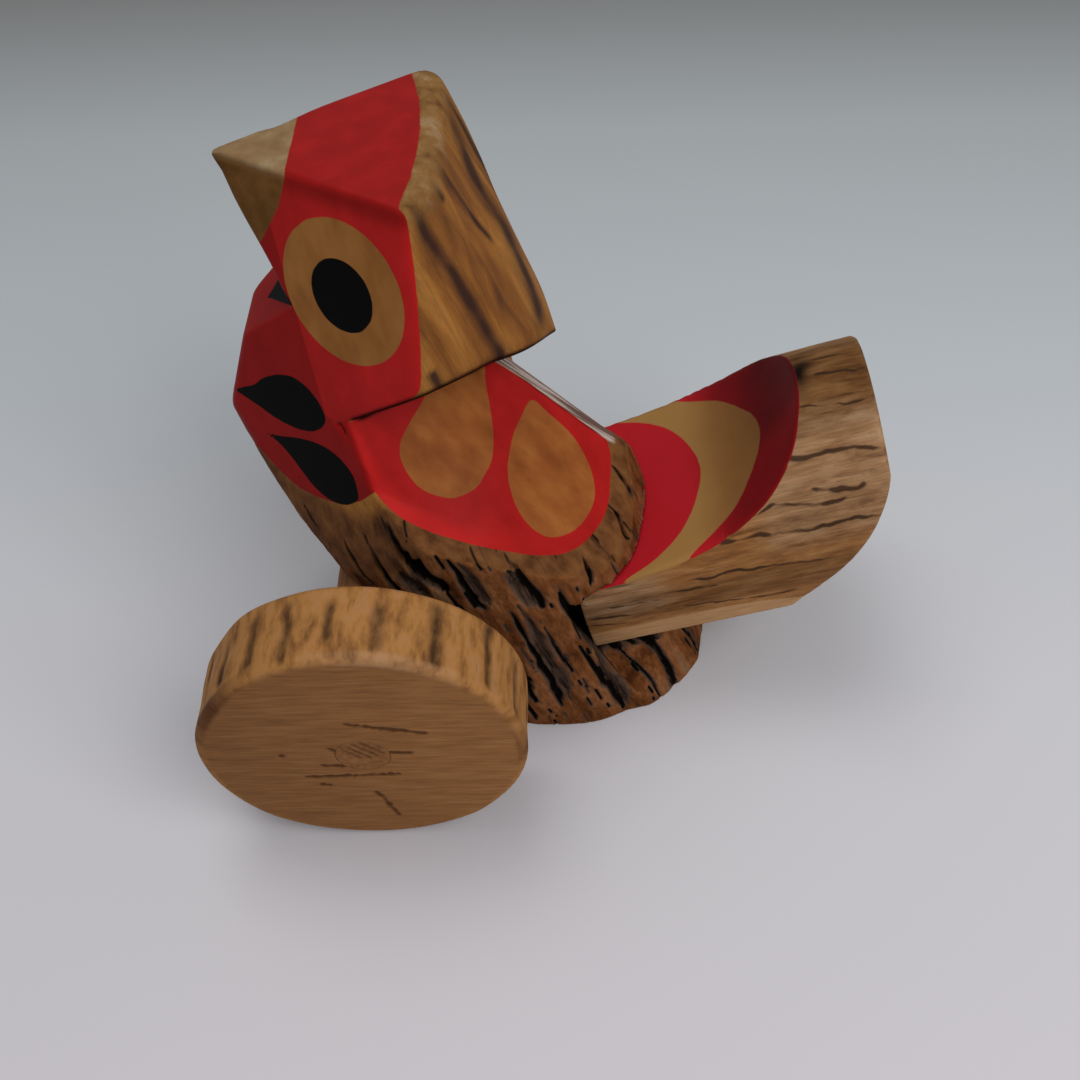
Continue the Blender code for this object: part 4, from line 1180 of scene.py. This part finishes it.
# The outer corner is rubbed pale on top and dark where a hand or the floor stained it.
rubbed = add(tree, "Math", {0: noise["clouds"], 1: mark["worn"]}, operation="MULTIPLY")
rubbed = add(tree, "MapRange", {0: rubbed, 1: 0.1, 2: 0.7, 3: 0.0, 4: 0.9})
base = add(tree, "Mix", {0: rubbed, 6: base, 7: "#A58263"}, **OVER)
grimy = add(tree, "MapRange", {0: mark["worn"], 1: -0.1, 2: -1.0, 3: 0.0, 4: 0.85})
base = add(tree, "Mix", {0: grimy, 6: base, 7: "#4A281A"}, **OVER)
relief = add(tree, "Mix", {0: mark["tread"], 2: noise["grit"], 3: noise["clouds"]}, data_type="FLOAT")
bump = add(tree, "Bump", {"Strength": 0.4, "Distance": 0.0003, "Height": relief})
feed(shader, {"Base Color": base, "Roughness": 0.6, "Normal": bump})
for wheel in (near_wheel, far_wheel):
    wheel.data.materials.append(wheel_wood)
print(wheel_wood.name, len(tree.nodes), "nodes")

# %% The axle's and the dowel's material
axle_wood, tree, shader, grain, mark, _ = new_material("oiled_turned_wood", ("hatch",), {})
# Turned hardwood: fibres about a millimetre wide along the bar.
place = add(tree, "TexCoord", {}).outputs["Object"]
bar_map = add(tree, "Mapping", {"Vector": place, "Scale": (900, 40, 900)})
fibres = add(tree, "TexNoise", {"Vector": bar_map, "Scale": 1.0, "Detail": 5.0})
bar_tint = add(tree, "ValToRGB", {0: fibres}, [(0.3, "#764C2C"), (0.5, "#865B36"),
                                               (0.7, "#90653E")])
hatch_lines = add(tree, "TexWave", {"Vector": place, "Scale": 320.0, "Distortion": 1.5},
                  bands_direction="DIAGONAL")
hatch_shade = add(tree, "MapRange", {0: hatch_lines, 3: 0.55, 4: 0.95})
hatched = add(tree, "Mix", {0: 1.0, 6: bar_tint, 7: hatch_shade}, **TIMES)
base = add(tree, "Mix", {0: mark["hatch"], 6: bar_tint, 7: hatched}, **OVER)
bump = add(tree, "Bump", {"Strength": 0.3, "Distance": 0.0002, "Height": fibres})
feed(shader, {"Base Color": base, "Roughness": 0.6, "Normal": bump})
axle.data.materials.append(axle_wood)
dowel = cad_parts["tail_dowel"]
dowel.data.materials.clear()
dowel.data.materials.append(axle_wood)
print(axle_wood.name, len(tree.nodes), "nodes")

# %% [markdown]
# ## Floor and light
# The photograph was taken on a pale table under soft light from above and to the right.

# %% Floor
half = 3.0                               # metres from the middle to an edge
floor_mesh = bpy.data.meshes.new("floor")
floor_mesh.from_pydata([(-half, -half, 0), (half, -half, 0), (half, half, 0),
                        (-half, half, 0)], [], [(0, 1, 2, 3)])
floor = bpy.data.objects.new("floor", floor_mesh)
bpy.context.scene.collection.objects.link(floor)
floor_paint, tree, shader, *_ = new_material("pale_table_top", (), {})
place = add(tree, "TexCoord", {}).outputs["Object"]
far = add(tree, "SeparateXYZ", {0: place}).outputs["Y"]
far = add(tree, "MapRange", {0: far, 1: -0.14, 2: 0.36})
# A matt table, warm grey in front and cooler behind.
tint = add(tree, "ValToRGB", {0: far}, [
    (0.0, "#CCC6CA"), (0.22, "#C8C6CA"), (0.45, "#B8BCBF"), (0.70, "#A8ACAE"),
    (0.86, "#8E9090"), (1.0, "#787472")])
feed(shader, {"Base Color": tint, "Roughness": 0.9})
floor_mesh.materials.append(floor_paint)
print("the table is", 2 * half, "m wide")

# %% Light
world = bpy.data.worlds.new("room")
world.use_nodes = True
world.node_tree.nodes["Background"].inputs["Color"].default_value = colour("#EEF2F6")
world.node_tree.nodes["Background"].inputs["Strength"].default_value = 0.42
bpy.context.scene.world = world


def lamp(name, place, size, watts, tint="#FFFFFF"):
    """A square soft light at place (metres), turned to face the middle of the toy."""
    data = bpy.data.lights.new(name, "AREA")
    data.size, data.energy = size, watts
    data.color = colour(tint)[:3]
    light = bpy.data.objects.new(name, data)
    light.location = place
    aim = Vector((0, 0, 0.05)) - Vector(place)
    light.rotation_euler = aim.to_track_quat("-Z", "Y").to_euler()
    bpy.context.scene.collection.objects.link(light)


lamp("window", (0.40, -0.40, 0.60), 0.50, 3.1)
lamp("ceiling", (-0.14, 0.12, 0.80), 0.40, 2.0)
bpy.context.scene.view_settings.view_transform = "Standard"
print("lamps:", [light.name for light in bpy.data.lights])
